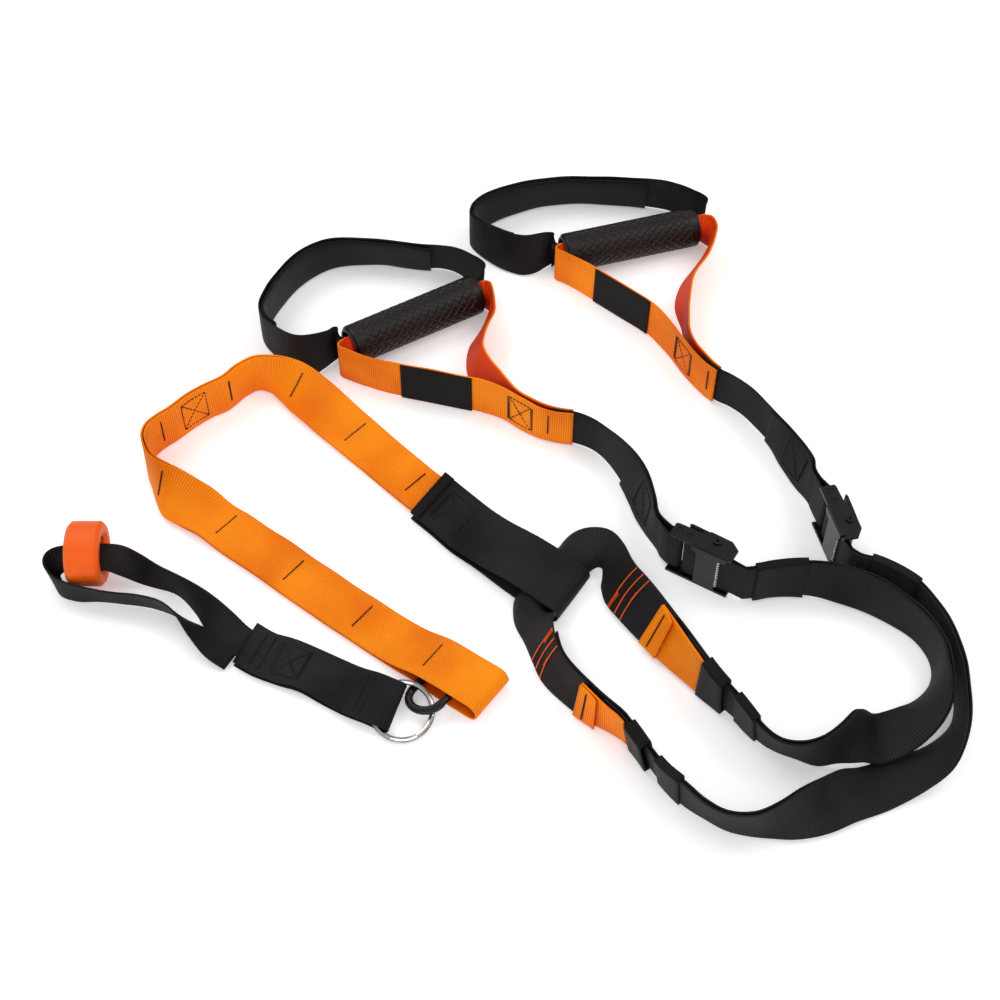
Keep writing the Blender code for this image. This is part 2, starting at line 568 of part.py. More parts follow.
def rod(name, radius, low, high, spot, finish, sides=16, collection=parts):
    """An upright round rod between two heights."""
    outline = [(spot[0] + radius * math.cos(a), spot[1] + radius * math.sin(a))
               for a in np.arange(sides) * 2 * math.pi / sides]
    return prism(name, outline, low, high, finish, collection)


def combine(piece, other, operation):
    """Cut or join another piece into this one, for good."""
    join = piece.modifiers.new("Join", "BOOLEAN")
    join.operation = operation
    join.object = other
    join.solver = "EXACT"
    finish = piece.data.materials[0] if piece.data.materials else None
    made = baked(piece)
    if finish and not made.data.materials:
        made.data.materials.append(finish)
    bpy.data.objects.remove(other)
    return made


def put(piece, spot, degrees, height=0.0):
    """Place a piece by a route place and a compass angle."""
    piece.matrix_world = spot_matrix(spot, degrees, height) @ piece.matrix_world
    return piece


def spot_matrix(spot, degrees, height=0.0):
    x = spot[0] * ROUTE_UNIT - LAYOUT_MIDDLE_X
    y = spot[1] * ROUTE_UNIT - LAYOUT_MIDDLE_Y
    return Matrix.Translation((x, y, height)) @ Matrix.Rotation(math.radians(degrees), 4, "Z")


def local_rows(place_row, pairs, toward, curl=0.0):
    """Rows in a piece's own frame, in route units, as route rows with their middle held."""
    x, y, degrees = place_row
    cosine, sine = math.cos(math.radians(degrees)), math.sin(math.radians(degrees))
    return [(x + a * cosine - b * sine, y + a * sine + b * cosine, -1, toward, 90, curl)
            for a, b in pairs]


def centred(piece, spot):
    """The piece with its origin moved to a place on its joint's axis."""
    shift = Matrix.Translation((*spot, 0))
    piece.data.transform(shift.inverted())
    piece.matrix_world = piece.matrix_world @ shift
    return piece


def build_anchor():
    """Anchor strap and the connector loop that is sewn over its end."""
    run = follow(ANCHOR, ANCHOR_WIDTH)
    closed = LAYER / 2
    gaps = opened(run, closed, ANCHOR_FOLD_RADIUS, ANCHOR_FLAT_OPEN, ANCHOR_OPEN_LENGTH)
    webbing("anchor_strap", folded(run, gaps), ANCHOR_WIDTH, orange_web())
    run = follow(CONNECTOR, CONNECTOR_WIDTH)
    gaps = opened(run, closed + LAYER, CONNECTOR_FOLD_RADIUS, CONNECTOR_FLAT_OPEN,
                  CONNECTOR_OPEN_LENGTH)
    webbing("connector_loop", folded(run, gaps), CONNECTOR_WIDTH, black_web())


def buckle_run(side):
    """Stations of the length strap inside its buckle: in along the far side of the turn bar,
    round it and out along the near side."""
    length, (bar_a, bar_b) = BUCKLE_LENGTH, TURN_BAR_PLACE
    radius = TURN_BAR_RADIUS + 2 * GAP + WEB_THICKNESS / 2
    ramp = bar_a + 2 * TURN_BAR_RADIUS
    settle = bar_a + 4 * TURN_BAR_RADIUS
    arc = [(bar_a + radius * math.cos(angle), bar_b + radius * math.sin(angle))
           for angle in np.linspace(math.pi / 2, 3 * math.pi / 2, 9)]
    far = [(length - GAP, FAR_LAYER_DEPTH), ((length + settle) / 2, FAR_LAYER_DEPTH),
           (settle, FAR_LAYER_DEPTH + GAP), (ramp, (FAR_LAYER_DEPTH + arc[0][1]) / 2)]
    near = [(ramp, (NEAR_LAYER_DEPTH + arc[-1][1]) / 2), (settle, NEAR_LAYER_DEPTH),
            ((length + settle) / 2, NEAR_LAYER_DEPTH), (length - GAP, NEAR_LAYER_DEPTH)]
    pairs = [(a / ROUTE_UNIT, b / ROUTE_UNIT) for a, b in far + arc + near]
    rows = local_rows(BUCKLE_PLACES[side], pairs, 90)
    return follow(rows, WEB_WIDTH, middle_height=BUCKLE_WIDTH / 2)


def build_load_line():
    """The yoke, the two length straps, their pull tabs and keepers."""
    line = follow(OUTER_LOOP + YOKE_RUN + INNER_LOOP, WEB_WIDTH)
    right_end = nearest(line, PLACES["right strap end"])
    left_end = nearest(line, PLACES["left strap end"])
    yoke = line[nearest(line, PLACES["left yoke end"]):nearest(line, PLACES["right yoke end"]) + 1]
    webbing("yoke_strap", shifted(yoke, -YOKE_LAYER), YOKE_WIDTH, black_web(),
            columns=TROUGH_COLUMNS)
    tail_gap = 2
    ways = {
        "right": (backward(line[:right_end + 1]), nearest(line, PLACES["left yoke end"])),
        "left": (line[left_end:], len(line) - 1 - nearest(line, PLACES["right yoke end"])),
    }
    for side, (main, tail_count) in ways.items():
        tail = backward(shifted(main, -LAYER))[:tail_count - tail_gap + 1]
        inside = buckle_run(side)
        strap = np.vstack([main, aligned(inside, main[-1]), tail])
        webbing("%s_length_strap" % side, strap, WEB_WIDTH, black_web())
        tab = between(line, TAB_SPANS[side])
        tab = shifted(tab, -LAYER - YOKE_LAYER)
        webbing("%s_pull_tab" % side, tab, WEB_WIDTH, orange_web())
        for number, span in enumerate(KEEPER_SPANS[side]):
            depth = LAYER + YOKE_LAYER if number == 1 else LAYER
            keeper("%s_keeper_%d" % (side, number + 1), between(line, span), WEB_WIDTH,
                   -depth - WEB_THICKNESS / 2, WEB_THICKNESS / 2, black_web())


def aligned(frames, like):
    """Stations whose width direction runs the same way as that of another station."""
    made = frames.copy()
    if np.dot(made[0, ACROSS], like[ACROSS]) < 0:
        made[:, ACROSS] *= -1
        made[:, FACE] *= -1
    return made


def build_buckle_strap(side):
    """The short strap from a handle round its buckle's handle bar and back."""
    arrive, leave = BAR_APPROACH[side]
    bar_a, bar_b = HANDLE_BAR_PLACE
    radius = HANDLE_BAR_RADIUS + 2 * GAP + WEB_THICKNESS / 2
    arc = [((bar_a + radius * math.cos(angle)) / ROUTE_UNIT,
            (bar_b + radius * math.sin(angle)) / ROUTE_UNIT)
           for angle in np.linspace(math.pi / 2, -math.pi / 2, 9)]
    toward = BUCKLE_STRAPS[side][-1][3]
    rows = BUCKLE_STRAPS[side] + local_rows(BUCKLE_PLACES[side], arrive + arc, toward)
    out = follow(rows, WEB_WIDTH, middle_height=BUCKLE_WIDTH / 2)
    joint = nearest_local(out, side, arrive[0])
    lead = backward(shifted(out[:joint + 1], LAYER))
    steps = np.cumsum(np.linalg.norm(np.diff(lead[:, MIDDLE], axis=0), axis=1))
    lead = lead[:int(np.searchsorted(steps, RETURN_LENGTH)) + 1]
    leave_run = follow(local_rows(BUCKLE_PLACES[side], arc[-1:] + leave[:-1], toward), WEB_WIDTH,
                       middle_height=BUCKLE_WIDTH / 2)
    strap = np.vstack([out, aligned(leave_run[1:], out[-1]), lead])
    webbing("%s_buckle_strap" % side, strap, WEB_WIDTH, black_web())


def nearest_local(frames, side, pair):
    row = local_rows(BUCKLE_PLACES[side], [pair], 0)[0]
    return nearest(frames, row[:2])


def grip_pairs(shares, crown):
    """Rows inside a grip from shares of its length, on one side of its axis."""
    length = GRIP_LENGTH / ROUTE_UNIT
    return [(share * length, crown / ROUTE_UNIT) for share in shares]


def build_handle(side):
    """Grip, handle strap, label and foot strap with its pad."""
    spot = GRIP_PLACES[side]
    inner = GRIP_LENGTH / 2
    core = BORE_RADIUS + TUBE_WALL
    tube = [(0, BORE_RADIUS), (GRIP_LENGTH, BORE_RADIUS), (GRIP_LENGTH, core), (0, core)]
    finish = material("black_plastic", (0.02, 0.02, 0.02), 0.5)
    put(round_out(tube, "%s_grip_tube" % side, finish, GRIP_SIDES), spot, spot[2], GRIP_RADIUS)
    low, far, near = core + GAP, GRIP_LENGTH - TUBE_LIP, TUBE_LIP
    band, groove, top = GRIP_BAND, GRIP_RADIUS - GRIP_GROOVE, GRIP_RADIUS
    edge = GRIP_GROOVE
    sleeve = [(near, low), (far, low), (far, top - edge), (far - edge, top), (far - band, top),
              (far - band - edge, groove), (near + band + edge, groove), (near + band, top),
              (near + edge, top), (near, top - edge)]
    finish = material("textured_rubber", (0.03, 0.025, 0.022), 0.7)
    put(round_out(sleeve, "%s_grip_sleeve" % side, finish, GRIP_SIDES), spot, spot[2],
        GRIP_RADIUS)

    through = local_rows(spot, grip_pairs(THROUGH_SHARES, -TROUGH_RADIUS), 90,
                         -math.degrees(WEB_WIDTH / TROUGH_RADIUS))
    front, rear = HANDLE_STRAPS[side]
    run = follow(front + through + rear, WEB_WIDTH, middle_height=GRIP_RADIUS)
    webbing("%s_handle_strap" % side, run, WEB_WIDTH, orange_web(), columns=TROUGH_COLUMNS)
    half = len(run) // 2
    label = between(run[:half], LABEL_SPANS[side])
    out = np.sign(-label[0, 7]) * (WEB_THICKNESS / 2 + GAP + LABEL_THICKNESS / 2)
    webbing("%s_label" % side, shifted(label, out), WEB_WIDTH,
            material("label_cloth", (0.02, 0.02, 0.02), 0.6), LABEL_THICKNESS)

    curl = -math.degrees(WEB_WIDTH / NESTED_RADIUS)
    ways = local_rows(spot, grip_pairs(LEFT_END_SHARES, NESTED_RADIUS), 90, curl)
    back = local_rows(spot, grip_pairs(RIGHT_END_SHARES, NESTED_RADIUS), 90, curl)
    run = follow(ways + FOOT_STRAPS[side] + back, WEB_WIDTH, middle_height=GRIP_RADIUS)
    webbing("%s_foot_strap" % side, run, WEB_WIDTH, black_web(), columns=TROUGH_COLUMNS)
    first, last = (nearest(run, spot) for spot in PAD_SPANS[side])
    pad = shifted(run[first:last + 1], WEB_THICKNESS / 2 + 3 * GAP + PAD_THICKNESS / 2)
    webbing("%s_foot_pad" % side, pad, PAD_WIDTH, black_web(), PAD_THICKNESS)


def build_buckle(side):
    """A cam buckle: side plates and toothed base in one, two bars, axle, lever and spring."""
    place_row = BUCKLE_PLACES[side]
    steel = black_metal()
    length, depth, wall = BUCKLE_LENGTH, PLATE_DEPTH, PLATE_THICKNESS
    shares = [(0, 0), (1, 0), (1, 0.68), (0.86, 0.98), (0.52, 1),
              (0.4, 0.76), (0.04, 0.72), (0, 0.66)]
    outline = [(a * length, b * depth) for a, b in shares]
    frame = prism("%s_buckle_frame" % side, outline, 0, wall, steel)
    upper = prism("upper", outline, BUCKLE_WIDTH - wall, BUCKLE_WIDTH, steel)
    sink = wall / 4
    base = prism("base", [(BASE_START, 0), (BASE_END, 0), (BASE_END, BASE_THICKNESS),
                          (BASE_START, BASE_THICKNESS)], wall - sink,
                 BUCKLE_WIDTH - wall + sink, steel)
    start = (BUCKLE_WIDTH - TOOTH_COUNT * TOOTH_PITCH) / 2
    comb = [(BASE_END - sink, start)]
    for number in range(TOOTH_COUNT):
        low = start + number * TOOTH_PITCH
        comb += [(BASE_END + TOOTH_REACH, low + TOOTH_PITCH / 2), (BASE_END, low + TOOTH_PITCH)]
    comb[-1] = (BASE_END - sink, start + TOOTH_COUNT * TOOTH_PITCH)
    comb += [(BASE_END - 2 * sink, comb[-1][1]), (BASE_END - 2 * sink, start)]
    rack = prism("rack", comb, sink, BASE_THICKNESS - sink, steel)
    rack.data.transform(Matrix(((1, 0, 0, 0), (0, 0, 1, 0), (0, 1, 0, 0), (0, 0, 0, 1))))
    rack = baked(rack)
    base = combine(base, rack, "UNION")
    frame = combine(frame, base, "UNION")
    frame = combine(frame, upper, "UNION")
    for spot, radius in ((HANDLE_BAR_PLACE, HANDLE_BAR_RADIUS), (TURN_BAR_PLACE, TURN_BAR_RADIUS),
                         (AXLE_PLACE, AXLE_RADIUS)):
        hole = rod("hole", radius + GAP, -wall, BUCKLE_WIDTH + wall, spot, steel)
        frame = combine(frame, hole, "DIFFERENCE")
    pieces = [frame]
    for name, spot, radius in (("handle_bar", HANDLE_BAR_PLACE, HANDLE_BAR_RADIUS),
                               ("turn_bar", TURN_BAR_PLACE, TURN_BAR_RADIUS)):
        pieces.append(rod("%s_%s" % (side, name), radius, GAP, BUCKLE_WIDTH - GAP, spot, steel))
    axle = rod("%s_cam_axle" % side, AXLE_RADIUS, GAP, BUCKLE_WIDTH + wall / 4, AXLE_PLACE,
               steel)
    head = rod("head", AXLE_HEAD_RADIUS, BUCKLE_WIDTH + GAP,
               BUCKLE_WIDTH + GAP + AXLE_HEAD_HEIGHT, AXLE_PLACE, steel, 24)
    axle = combine(axle, head, "UNION")
    socket = rod("socket", AXLE_SOCKET_RADIUS, BUCKLE_WIDTH, BUCKLE_WIDTH + 2 * wall, AXLE_PLACE,
                 steel, 6)
    pieces.append(combine(axle, socket, "DIFFERENCE"))
    pieces.append(build_lever(side, steel))
    pieces.append(build_spring(side))
    for piece in pieces:
        put(piece, place_row, place_row[2])


def build_lever(side, steel):
    """The cam and its thumb plate: serrated nose toward the strap, plate behind."""
    axle_a, axle_b = AXLE_PLACE
    outline = []
    for number in range(19):
        angle = math.radians(-170 + number * 10)
        nose = -110 <= -170 + number * 10 <= -60
        radius = CAM_RADIUS - (0 if nose and number % 2 == 0 else CAM_RADIUS / 12)
        radius -= 0 if nose else CAM_RELIEF / 2
        outline.append((axle_a + radius * math.cos(angle), axle_b + radius * math.sin(angle)))
    hub = CAM_RADIUS - CAM_RELIEF
    outline += [(axle_a + hub * math.cos(math.radians(a)), axle_b + hub * math.sin(math.radians(a)))
                for a in (25, 45, 65)]
    outline += [(axle_a, LEVER_DEPTH - LEVER_THICKNESS / 2),
                (axle_a - CAM_RADIUS, LEVER_DEPTH - LEVER_THICKNESS / 4),
                (LEVER_BACK_PLACE + LEVER_THICKNESS, LEVER_DEPTH), (LEVER_BACK_PLACE,
                 LEVER_DEPTH - LEVER_THICKNESS / 2),
                (LEVER_BACK_PLACE + LEVER_THICKNESS / 2, LEVER_DEPTH - LEVER_THICKNESS),
                (axle_a - 2 * CAM_RADIUS, LEVER_DEPTH - 1.2 * LEVER_THICKNESS)]
    low = PLATE_THICKNESS + LEVER_SIDE_GAP
    high = BUCKLE_WIDTH - low
    lever = prism("%s_cam_lever" % side, outline, low, high, steel)
    bore = rod("bore", AXLE_RADIUS + GAP, 0, BUCKLE_WIDTH, AXLE_PLACE, steel)
    lever = combine(lever, bore, "DIFFERENCE")
    middle = BUCKLE_WIDTH / 2
    slot = rod("slot", SPRING_RADIUS + 2 * AXLE_RADIUS, middle - SPRING_SLOT / 2,
               middle + SPRING_SLOT / 2, AXLE_PLACE, steel, 24)
    return centred(combine(lever, slot, "DIFFERENCE"), AXLE_PLACE)


def build_spring(side):
    """The torsion spring round the axle: one unbroken wire."""
    middle = BUCKLE_WIDTH / 2
    count = SPRING_TURNS * 12
    pitch = SPRING_WIRE_RADIUS * 3
    points = []
    for number in range(count + 1):
        angle = 2 * math.pi * number / 12
        height = middle + pitch * (number / 12 - SPRING_TURNS / 2)
        points.append((AXLE_PLACE[0] + SPRING_RADIUS * math.cos(angle),
                       AXLE_PLACE[1] + SPRING_RADIUS * math.sin(angle), height))
    return wire("%s_cam_spring" % side, points, SPRING_WIRE_RADIUS, bright_steel(), 1)


def wire(name, points, radius, finish, resolution=2, closed=False):
    """A round wire along points."""
    curve = bpy.data.curves.new(name, "CURVE")
    curve.dimensions = "3D"
    spline = curve.splines.new("POLY")
    spline.points.add(len(points) - 1)
    for point, spot in zip(spline.points, points):
        point.co = (*spot, 1)
    spline.use_cyclic_u = closed
    curve.bevel_depth = radius
    curve.bevel_resolution = resolution
    curve.use_fill_caps = not closed
    return place(name, curve, finish)


def build_carabiner():
    """Carabiner body, its gate and the gate's pin, tilted a little over the strap's layer."""
    steel = black_metal()
    half, straight = CARABINER_HALF_WIDTH, CARABINER_STRAIGHT
    right = [(straight + half * math.sin(a), -half * math.cos(a))
             for a in np.linspace(0, math.pi, 13)]
    left = [(-half * math.sin(a), half * math.cos(a)) for a in np.linspace(0, math.pi, 13)]
    path = [(GATE_HINGE + TONGUE_LENGTH / 2, -half)] + right + left + [(GATE_START - GAP, -half)]
    body = baked(wire("carabiner_body", [(a, b, 0) for a, b in path], CARABINER_ROD, steel, 3))
    body.data.materials.append(steel)
    mid = TONGUE_THICKNESS / 2
    reach = GATE_HINGE - GATE_RADIUS
    side = CARABINER_ROD * 3 / 4
    tongue = prism("tongue", [(reach, -half - side), (straight, -half - side),
                              (straight, -half + side), (reach, -half + side)],
                   -mid, mid, steel)
    body = combine(body, tongue, "UNION")
    pin_hole = rod("pin_hole", GATE_PIN_RADIUS + GAP, -half, half, (GATE_HINGE, -half), steel, 12)
    body = combine(body, pin_hole, "DIFFERENCE")
    end = GATE_HINGE + GATE_RADIUS / 2
    gate = baked(wire("carabiner_gate", [(GATE_START, -half, 0), (end, -half, 0)], GATE_RADIUS,
                      steel, 3))
    gate.data.materials.append(steel)
    fork = mid + GAP
    back = reach - 3 * GATE_RADIUS / 2
    slot = prism("slot", [(back, -2 * half), (straight, -2 * half), (straight, 0), (back, 0)],
                 -fork, fork, steel)
    gate = combine(gate, slot, "DIFFERENCE")
    pin_hole = rod("pin_hole", GATE_PIN_RADIUS + GAP, -half, half, (GATE_HINGE, -half), steel, 12)
    gate = centred(combine(gate, pin_hole, "DIFFERENCE"), (GATE_HINGE, -half))
    pin = rod("gate_pin", GATE_PIN_RADIUS, -CARABINER_ROD * 0.7, CARABINER_ROD * 0.7,
              (GATE_HINGE, -half), bright_steel(), 12)
    rise = (CARABINER_FAR_HEIGHT - CARABINER_NEAR_HEIGHT) / (2 * half)
    middle = (CARABINER_FAR_HEIGHT + CARABINER_NEAR_HEIGHT) / 2
    tilt = Matrix.Rotation(math.asin(rise), 4, "X")
    for piece in (body, gate, pin):
        piece.matrix_world = (spot_matrix(CARABINER_PLACE, CARABINER_PLACE[2], middle) @ tilt
                              @ piece.matrix_world)


def build_door_anchor():
    """Ring, door strap, its narrow strands and the spool they pass through."""
    tilt = math.radians(RING_TILT_DEGREES)
    low = RING_LIFT + RING_WIRE_RADIUS + RING_RADIUS * math.sin(tilt)
    points = [(RING_RADIUS * math.cos(a), RING_RADIUS * math.sin(a), 0)
              for a in np.arange(36) * 2 * math.pi / 36]
    ring = wire("anchor_ring", points, RING_WIRE_RADIUS, bright_steel(), 2, closed=True)
    ring.matrix_world = (spot_matrix(RING_PLACE, RING_RISE_TOWARD - 90, low)
                         @ Matrix.Rotation(tilt, 4, "X"))

    run = follow(DOOR, WEB_WIDTH)
    gaps = opened(run, LAYER, DOOR_FOLD_RADIUS, DOOR_FLAT_OPEN, DOOR_OPEN_LENGTH)
    webbing("door_strap", folded(run, gaps), WEB_WIDTH, black_web())
    run = follow(DOOR_STRANDS, DOOR_LOOP_WIDTH)
    webbing("door_loop", run, DOOR_LOOP_WIDTH, black_web())
    edge = SPOOL_ROUNDING
    half = SPOOL_WIDTH / 2
    profile = [(-half + edge, SPOOL_BORE_RADIUS), (half - edge, SPOOL_BORE_RADIUS)]
    profile += [(half, SPOOL_BORE_RADIUS + edge), (half, SPOOL_RADIUS - edge)]
    profile += [(half - edge, SPOOL_RADIUS), (-half + edge, SPOOL_RADIUS)]
    profile += [(-half, SPOOL_RADIUS - edge), (-half, SPOOL_BORE_RADIUS + edge)]
    foam = material("orange_foam", (0.9, 0.16, 0.02), 0.5)
    put(round_out(profile, "door_spool", foam, GRIP_SIDES), SPOOL_PLACE, 0, SPOOL_RADIUS)


clear_scene()
build_anchor()
build_load_line()
for hand in ("left", "right"):
    build_handle(hand)
    build_buckle_strap(hand)
    build_buckle(hand)
build_carabiner()
build_door_anchor()
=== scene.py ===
"""Suspension trainer as it lies on a pale floor: webbing, cam buckles, grips and foot loops."""

import math

import bmesh
import bpy
import numpy as np
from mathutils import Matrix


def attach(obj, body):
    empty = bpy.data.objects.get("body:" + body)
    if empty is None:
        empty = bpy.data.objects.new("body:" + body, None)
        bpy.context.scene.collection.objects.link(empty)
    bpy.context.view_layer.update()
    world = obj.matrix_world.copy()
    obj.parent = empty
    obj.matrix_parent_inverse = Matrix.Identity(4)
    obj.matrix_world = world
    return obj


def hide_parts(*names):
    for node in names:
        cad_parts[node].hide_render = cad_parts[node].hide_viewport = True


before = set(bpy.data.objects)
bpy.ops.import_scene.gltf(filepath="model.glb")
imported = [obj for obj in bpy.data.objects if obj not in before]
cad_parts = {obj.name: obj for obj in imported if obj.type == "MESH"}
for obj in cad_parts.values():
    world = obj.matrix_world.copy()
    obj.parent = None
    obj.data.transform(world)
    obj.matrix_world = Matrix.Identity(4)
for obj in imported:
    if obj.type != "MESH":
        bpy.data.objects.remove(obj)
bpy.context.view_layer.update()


# Anchor strap: orange nylon webbing 40 mm wide, woven flat and heat-set. It is folded over at
# the carabiner into a loop and sewn to itself by short black bar tacks about every 70 mm.

# A route is a list of rows in this unit: x, y, lift, toward, lean, curl. x, y is the middle of
# the webbing, lift the height of its lowest edge, toward and lean the direction of its width,
# and curl the angle by which the width is bent into a trough.
ROUTE_UNIT = 0.001
LAYOUT_MIDDLE_X = -0.0073
LAYOUT_MIDDLE_Y = 0.0234
WEB_WIDTH = 0.038
WEB_THICKNESS = 0.0016
ANCHOR_WIDTH = 0.040
FLOOR_CLEARANCE = 0.0009
FINE_SAMPLES = 4000
GAP = 0.0003
LAYER_GAP = 0.0009
LAYER = WEB_THICKNESS + LAYER_GAP
STRAP_STEP = 0.005
BEND_STEP_DEGREES = 7
CURL_STEP_DEGREES = 12
FOLD_STEPS = 14
ANCHOR = [
    (-36, -20, 4.4, 50, 0), (-52, -4, 4.4, 49, 0), (-66, 10, 3.4, 48, 0), (-82, 27, 2.4, 46, 0),
    (-110, 55, 2.4, 45, 3), (-136, 80, 2.4, 45, 12), (-157, 99, 2.4, 45, 28),
    (-173, 109, 1.8, 45, 56), (-189, 115.5, 1.2, 47, 82), (-202, 117, 0.4, 50, 90),
    (-213, 110, 0.4, 50, 91), (-226, 95, 0.4, 50, 90), (-240, 86, 0.4, 50, 90),
    (-252, 76, 0.4, 50, 90), (-265, 62, 0.4, 50, 90), (-275, 53, 0.4, 50, 90),
    (-281, 45, 0.4, 50, 90), (-283, 35, 0.4, 50, 90), (-281, 25, 0.4, 50, 88),
    (-275.5, 12.5, 0.7, 50, 84), (-267, 1, 1.4, 50, 68), (-256, -7, 2.0, 50, 42),
    (-241, -13, 2.4, 50, 14), (-227, -22, 2.4, 51, -4), (-208, -36, 2.2, 51, 0),
    (-190, -50, 2.2, 51, 0), (-150, -81.5, 2.2, 51, 0), (-110, -113, 2.2, 51, 0),
    (-84, -132, 2.2, 52, 0), (-66, -145, 3.2, 53, 0), (-50, -156, 5.6, 53, 0),
    (-38, -166, 7.4, 53, 0), (-25, -176, 8.2, 53, 0), (-12, -185, 8.2, 53, 0),
]
ANCHOR_FOLD_RADIUS = 0.0078
ANCHOR_FLAT_OPEN = 0.020
ANCHOR_OPEN_LENGTH = 0.085
BODY = "straps_and_frames"
MIDDLE, ACROSS, FACE, CURL = slice(0, 3), slice(3, 6), slice(6, 9), 9
RIPPLE = 0.00018
RIPPLE_LENGTH = 0.041
WAVE_HEIGHT = 0.0016
WAVE_LENGTHS = (0.083, 0.047)
CALM_END = 0.065
TACK_PLACES = (0.046, 0.118, 0.184, 0.248, 0.315, 0.382, 0.445, 0.516, 0.586, 0.654)
TACK_WIDTH = 0.023
BOX_PLACE = 0.270
ANCHOR_BOX = (0.024, 0.028)
THREAD_RADIUS = 0.00046
TACK_PITCH = 0.0007
TACK_SWAY = 0.0005
STITCH_LENGTH = 0.0026
STITCH_GAP = 0.0009
BAR_OFFSET = 0.0015
WEB_RIB = 0.0019
EDGE_POINTS = 4
RING_POINTS = 6
BRICK_SHIFT = 0.3
CREST_SHARE = 0.35
WEAVE_RELIEF = 0.0004
# Scale, detail and strength of two mottles: a fine one that wear leaves, and a broad one that
# is painted light and shade, standing in for the slack waves of the cloth
WEAR = (55.0, 3.0, 0.4)
PAINTED_WAVE_SHADE = (17.0, 1.0, 2.0)
SHADE_REACH = 0.06
SHADE_RANGE = (0.12, 0.5)


def unit(vectors):
    return vectors / np.linalg.norm(vectors, axis=-1, keepdims=True)


def half_height(width, curl):
    """Half the height of a webbing on its edge, bent by curl across its width."""
    bend = np.maximum(np.abs(curl), 1e-6)
    return width / bend * np.sin(bend / 2)


def follow(rows, width, middle_height=None):
    """Stations along a smooth run through the rows, closer where it bends: the webbing's
    middle, its width direction, its face direction and its curl, one row a station."""
    table = np.array([list(row) + [0] * (6 - len(row)) for row in rows], float)
    toward, lean, curl = np.radians(table[:, 3]), np.radians(table[:, 4]), np.radians(table[:, 5])
    points = table[:, :3] * ROUTE_UNIT
    points[:, 0] -= LAYOUT_MIDDLE_X
    points[:, 1] -= LAYOUT_MIDDLE_Y
    points[:, 2] += FLOOR_CLEARANCE + half_height(width, curl) * np.abs(np.sin(lean))
    if middle_height is not None:
        held = np.array([row[2] < 0 for row in rows])
        points[held, 2] = middle_height
    values = np.column_stack([points, toward, lean, curl])
    spans = np.linalg.norm(np.diff(points, axis=0), axis=1)[:, None]
    slopes = np.diff(values, axis=0) / spans
    tangents = np.vstack([slopes[:1], (slopes[:-1] * spans[1:] + slopes[1:] * spans[:-1])
                          / (spans[1:] + spans[:-1]), slopes[-1:]])
    reach = np.append(0, np.cumsum(spans))
    run = np.linspace(0, reach[-1], FINE_SAMPLES)
    index = np.clip(np.searchsorted(reach, run, side="right") - 1, 0, len(spans) - 1)
    u = ((run - reach[index])[:, None] / spans[index])
    fine = ((1 + 2 * u) * (1 - u) ** 2 * values[index] + u * u * (3 - 2 * u) * values[index + 1]
            + u * (1 - u) * spans[index] * ((1 - u) * tangents[index] - u * tangents[index + 1]))
    along = unit(np.gradient(fine[:, :3], axis=0))
    toward, lean = fine[:, 3], fine[:, 4]
    across = np.column_stack([np.cos(lean) * np.cos(toward), np.cos(lean) * np.sin(toward),
                              np.sin(lean)])
    face = unit(np.cross(along, across))
    frames = np.column_stack([fine[:, :3], across, face, fine[:, 5]])
    steps = np.linalg.norm(np.diff(frames[:, MIDDLE], axis=0), axis=1)
    turns = np.linalg.norm(np.diff(face, axis=0), axis=1)
    curls = np.abs(np.diff(fine[:, 5])) / math.radians(CURL_STEP_DEGREES)
    turns = turns / math.radians(BEND_STEP_DEGREES)
    cost = np.append(0, np.cumsum(steps / STRAP_STEP + turns + curls))
    picks = np.linspace(0, cost[-1], math.ceil(cost[-1]) + 1)
    return tidy(np.column_stack([np.interp(picks, cost, frames[:, c]) for c in range(10)]))


def tidy(frames):
    """Stations with both directions back at unit length."""
    frames[:, ACROSS] = unit(frames[:, ACROSS])
    frames[:, FACE] = unit(frames[:, FACE])
    return frames


def shifted(frames, offset):
    """Stations moved along their face direction."""
    moved = frames.copy()
    moved[:, MIDDLE] += moved[:, FACE] * np.reshape(offset, (-1, 1))
    return moved


def backward(frames):
    return frames[::-1].copy()


def turned(frames, radius):
    """The half circle at the end of a run, from its back face round to its front."""
    end = frames[-1]
    ahead = np.cross(end[ACROSS], end[FACE])
    angles = np.linspace(0, math.pi, FOLD_STEPS + 1)[1:-1]
    out = -np.outer(np.cos(angles), end[FACE]) + np.outer(np.sin(angles), ahead)
    arc = np.tile(end, (len(angles), 1))
    arc[:, MIDDLE] += radius * out
    arc[:, FACE] = -out
    return arc


def opened(frames, closed, radius, flat, length):
    """Half the gap between two layers, which grows from closed to radius at the fold."""
    steps = np.linalg.norm(np.diff(frames[:, MIDDLE], axis=0), axis=1)
    left = np.append(np.cumsum(steps[::-1])[::-1], 0)
    share = np.clip((left - flat) / (length - flat), 0, 1)
    return closed + (radius - closed) * (1 + np.cos(math.pi * share)) / 2


def folded(frames, gaps):
    """Out along one side of the stations, round their end and back along the other."""
    ahead = shifted(frames, -gaps)
    back = backward(shifted(frames, gaps))
    back[:, FACE] *= -1
    return np.vstack([ahead, turned(frames, gaps[-1]), back])


def laid(spot):
    """A place in route units, as x and y in metres on the floor."""
    return np.array(spot[:2]) * ROUTE_UNIT - (LAYOUT_MIDDLE_X, LAYOUT_MIDDLE_Y)


def nearest(frames, spot):
    """The number of the station nearest to a place given in route units."""
    return int(np.argmin(np.linalg.norm(frames[:, :2] - laid(spot), axis=1)))


def between(frames, spots):
    first, last = sorted(nearest(frames, spot) for spot in spots)
    return frames[first:last + 1]


def arc_length(frames):
    """Distance along the stations: the running sum of the steps between their middles."""
    return np.append(0, np.cumsum(np.linalg.norm(np.diff(frames[:, MIDDLE], axis=0), axis=1)))


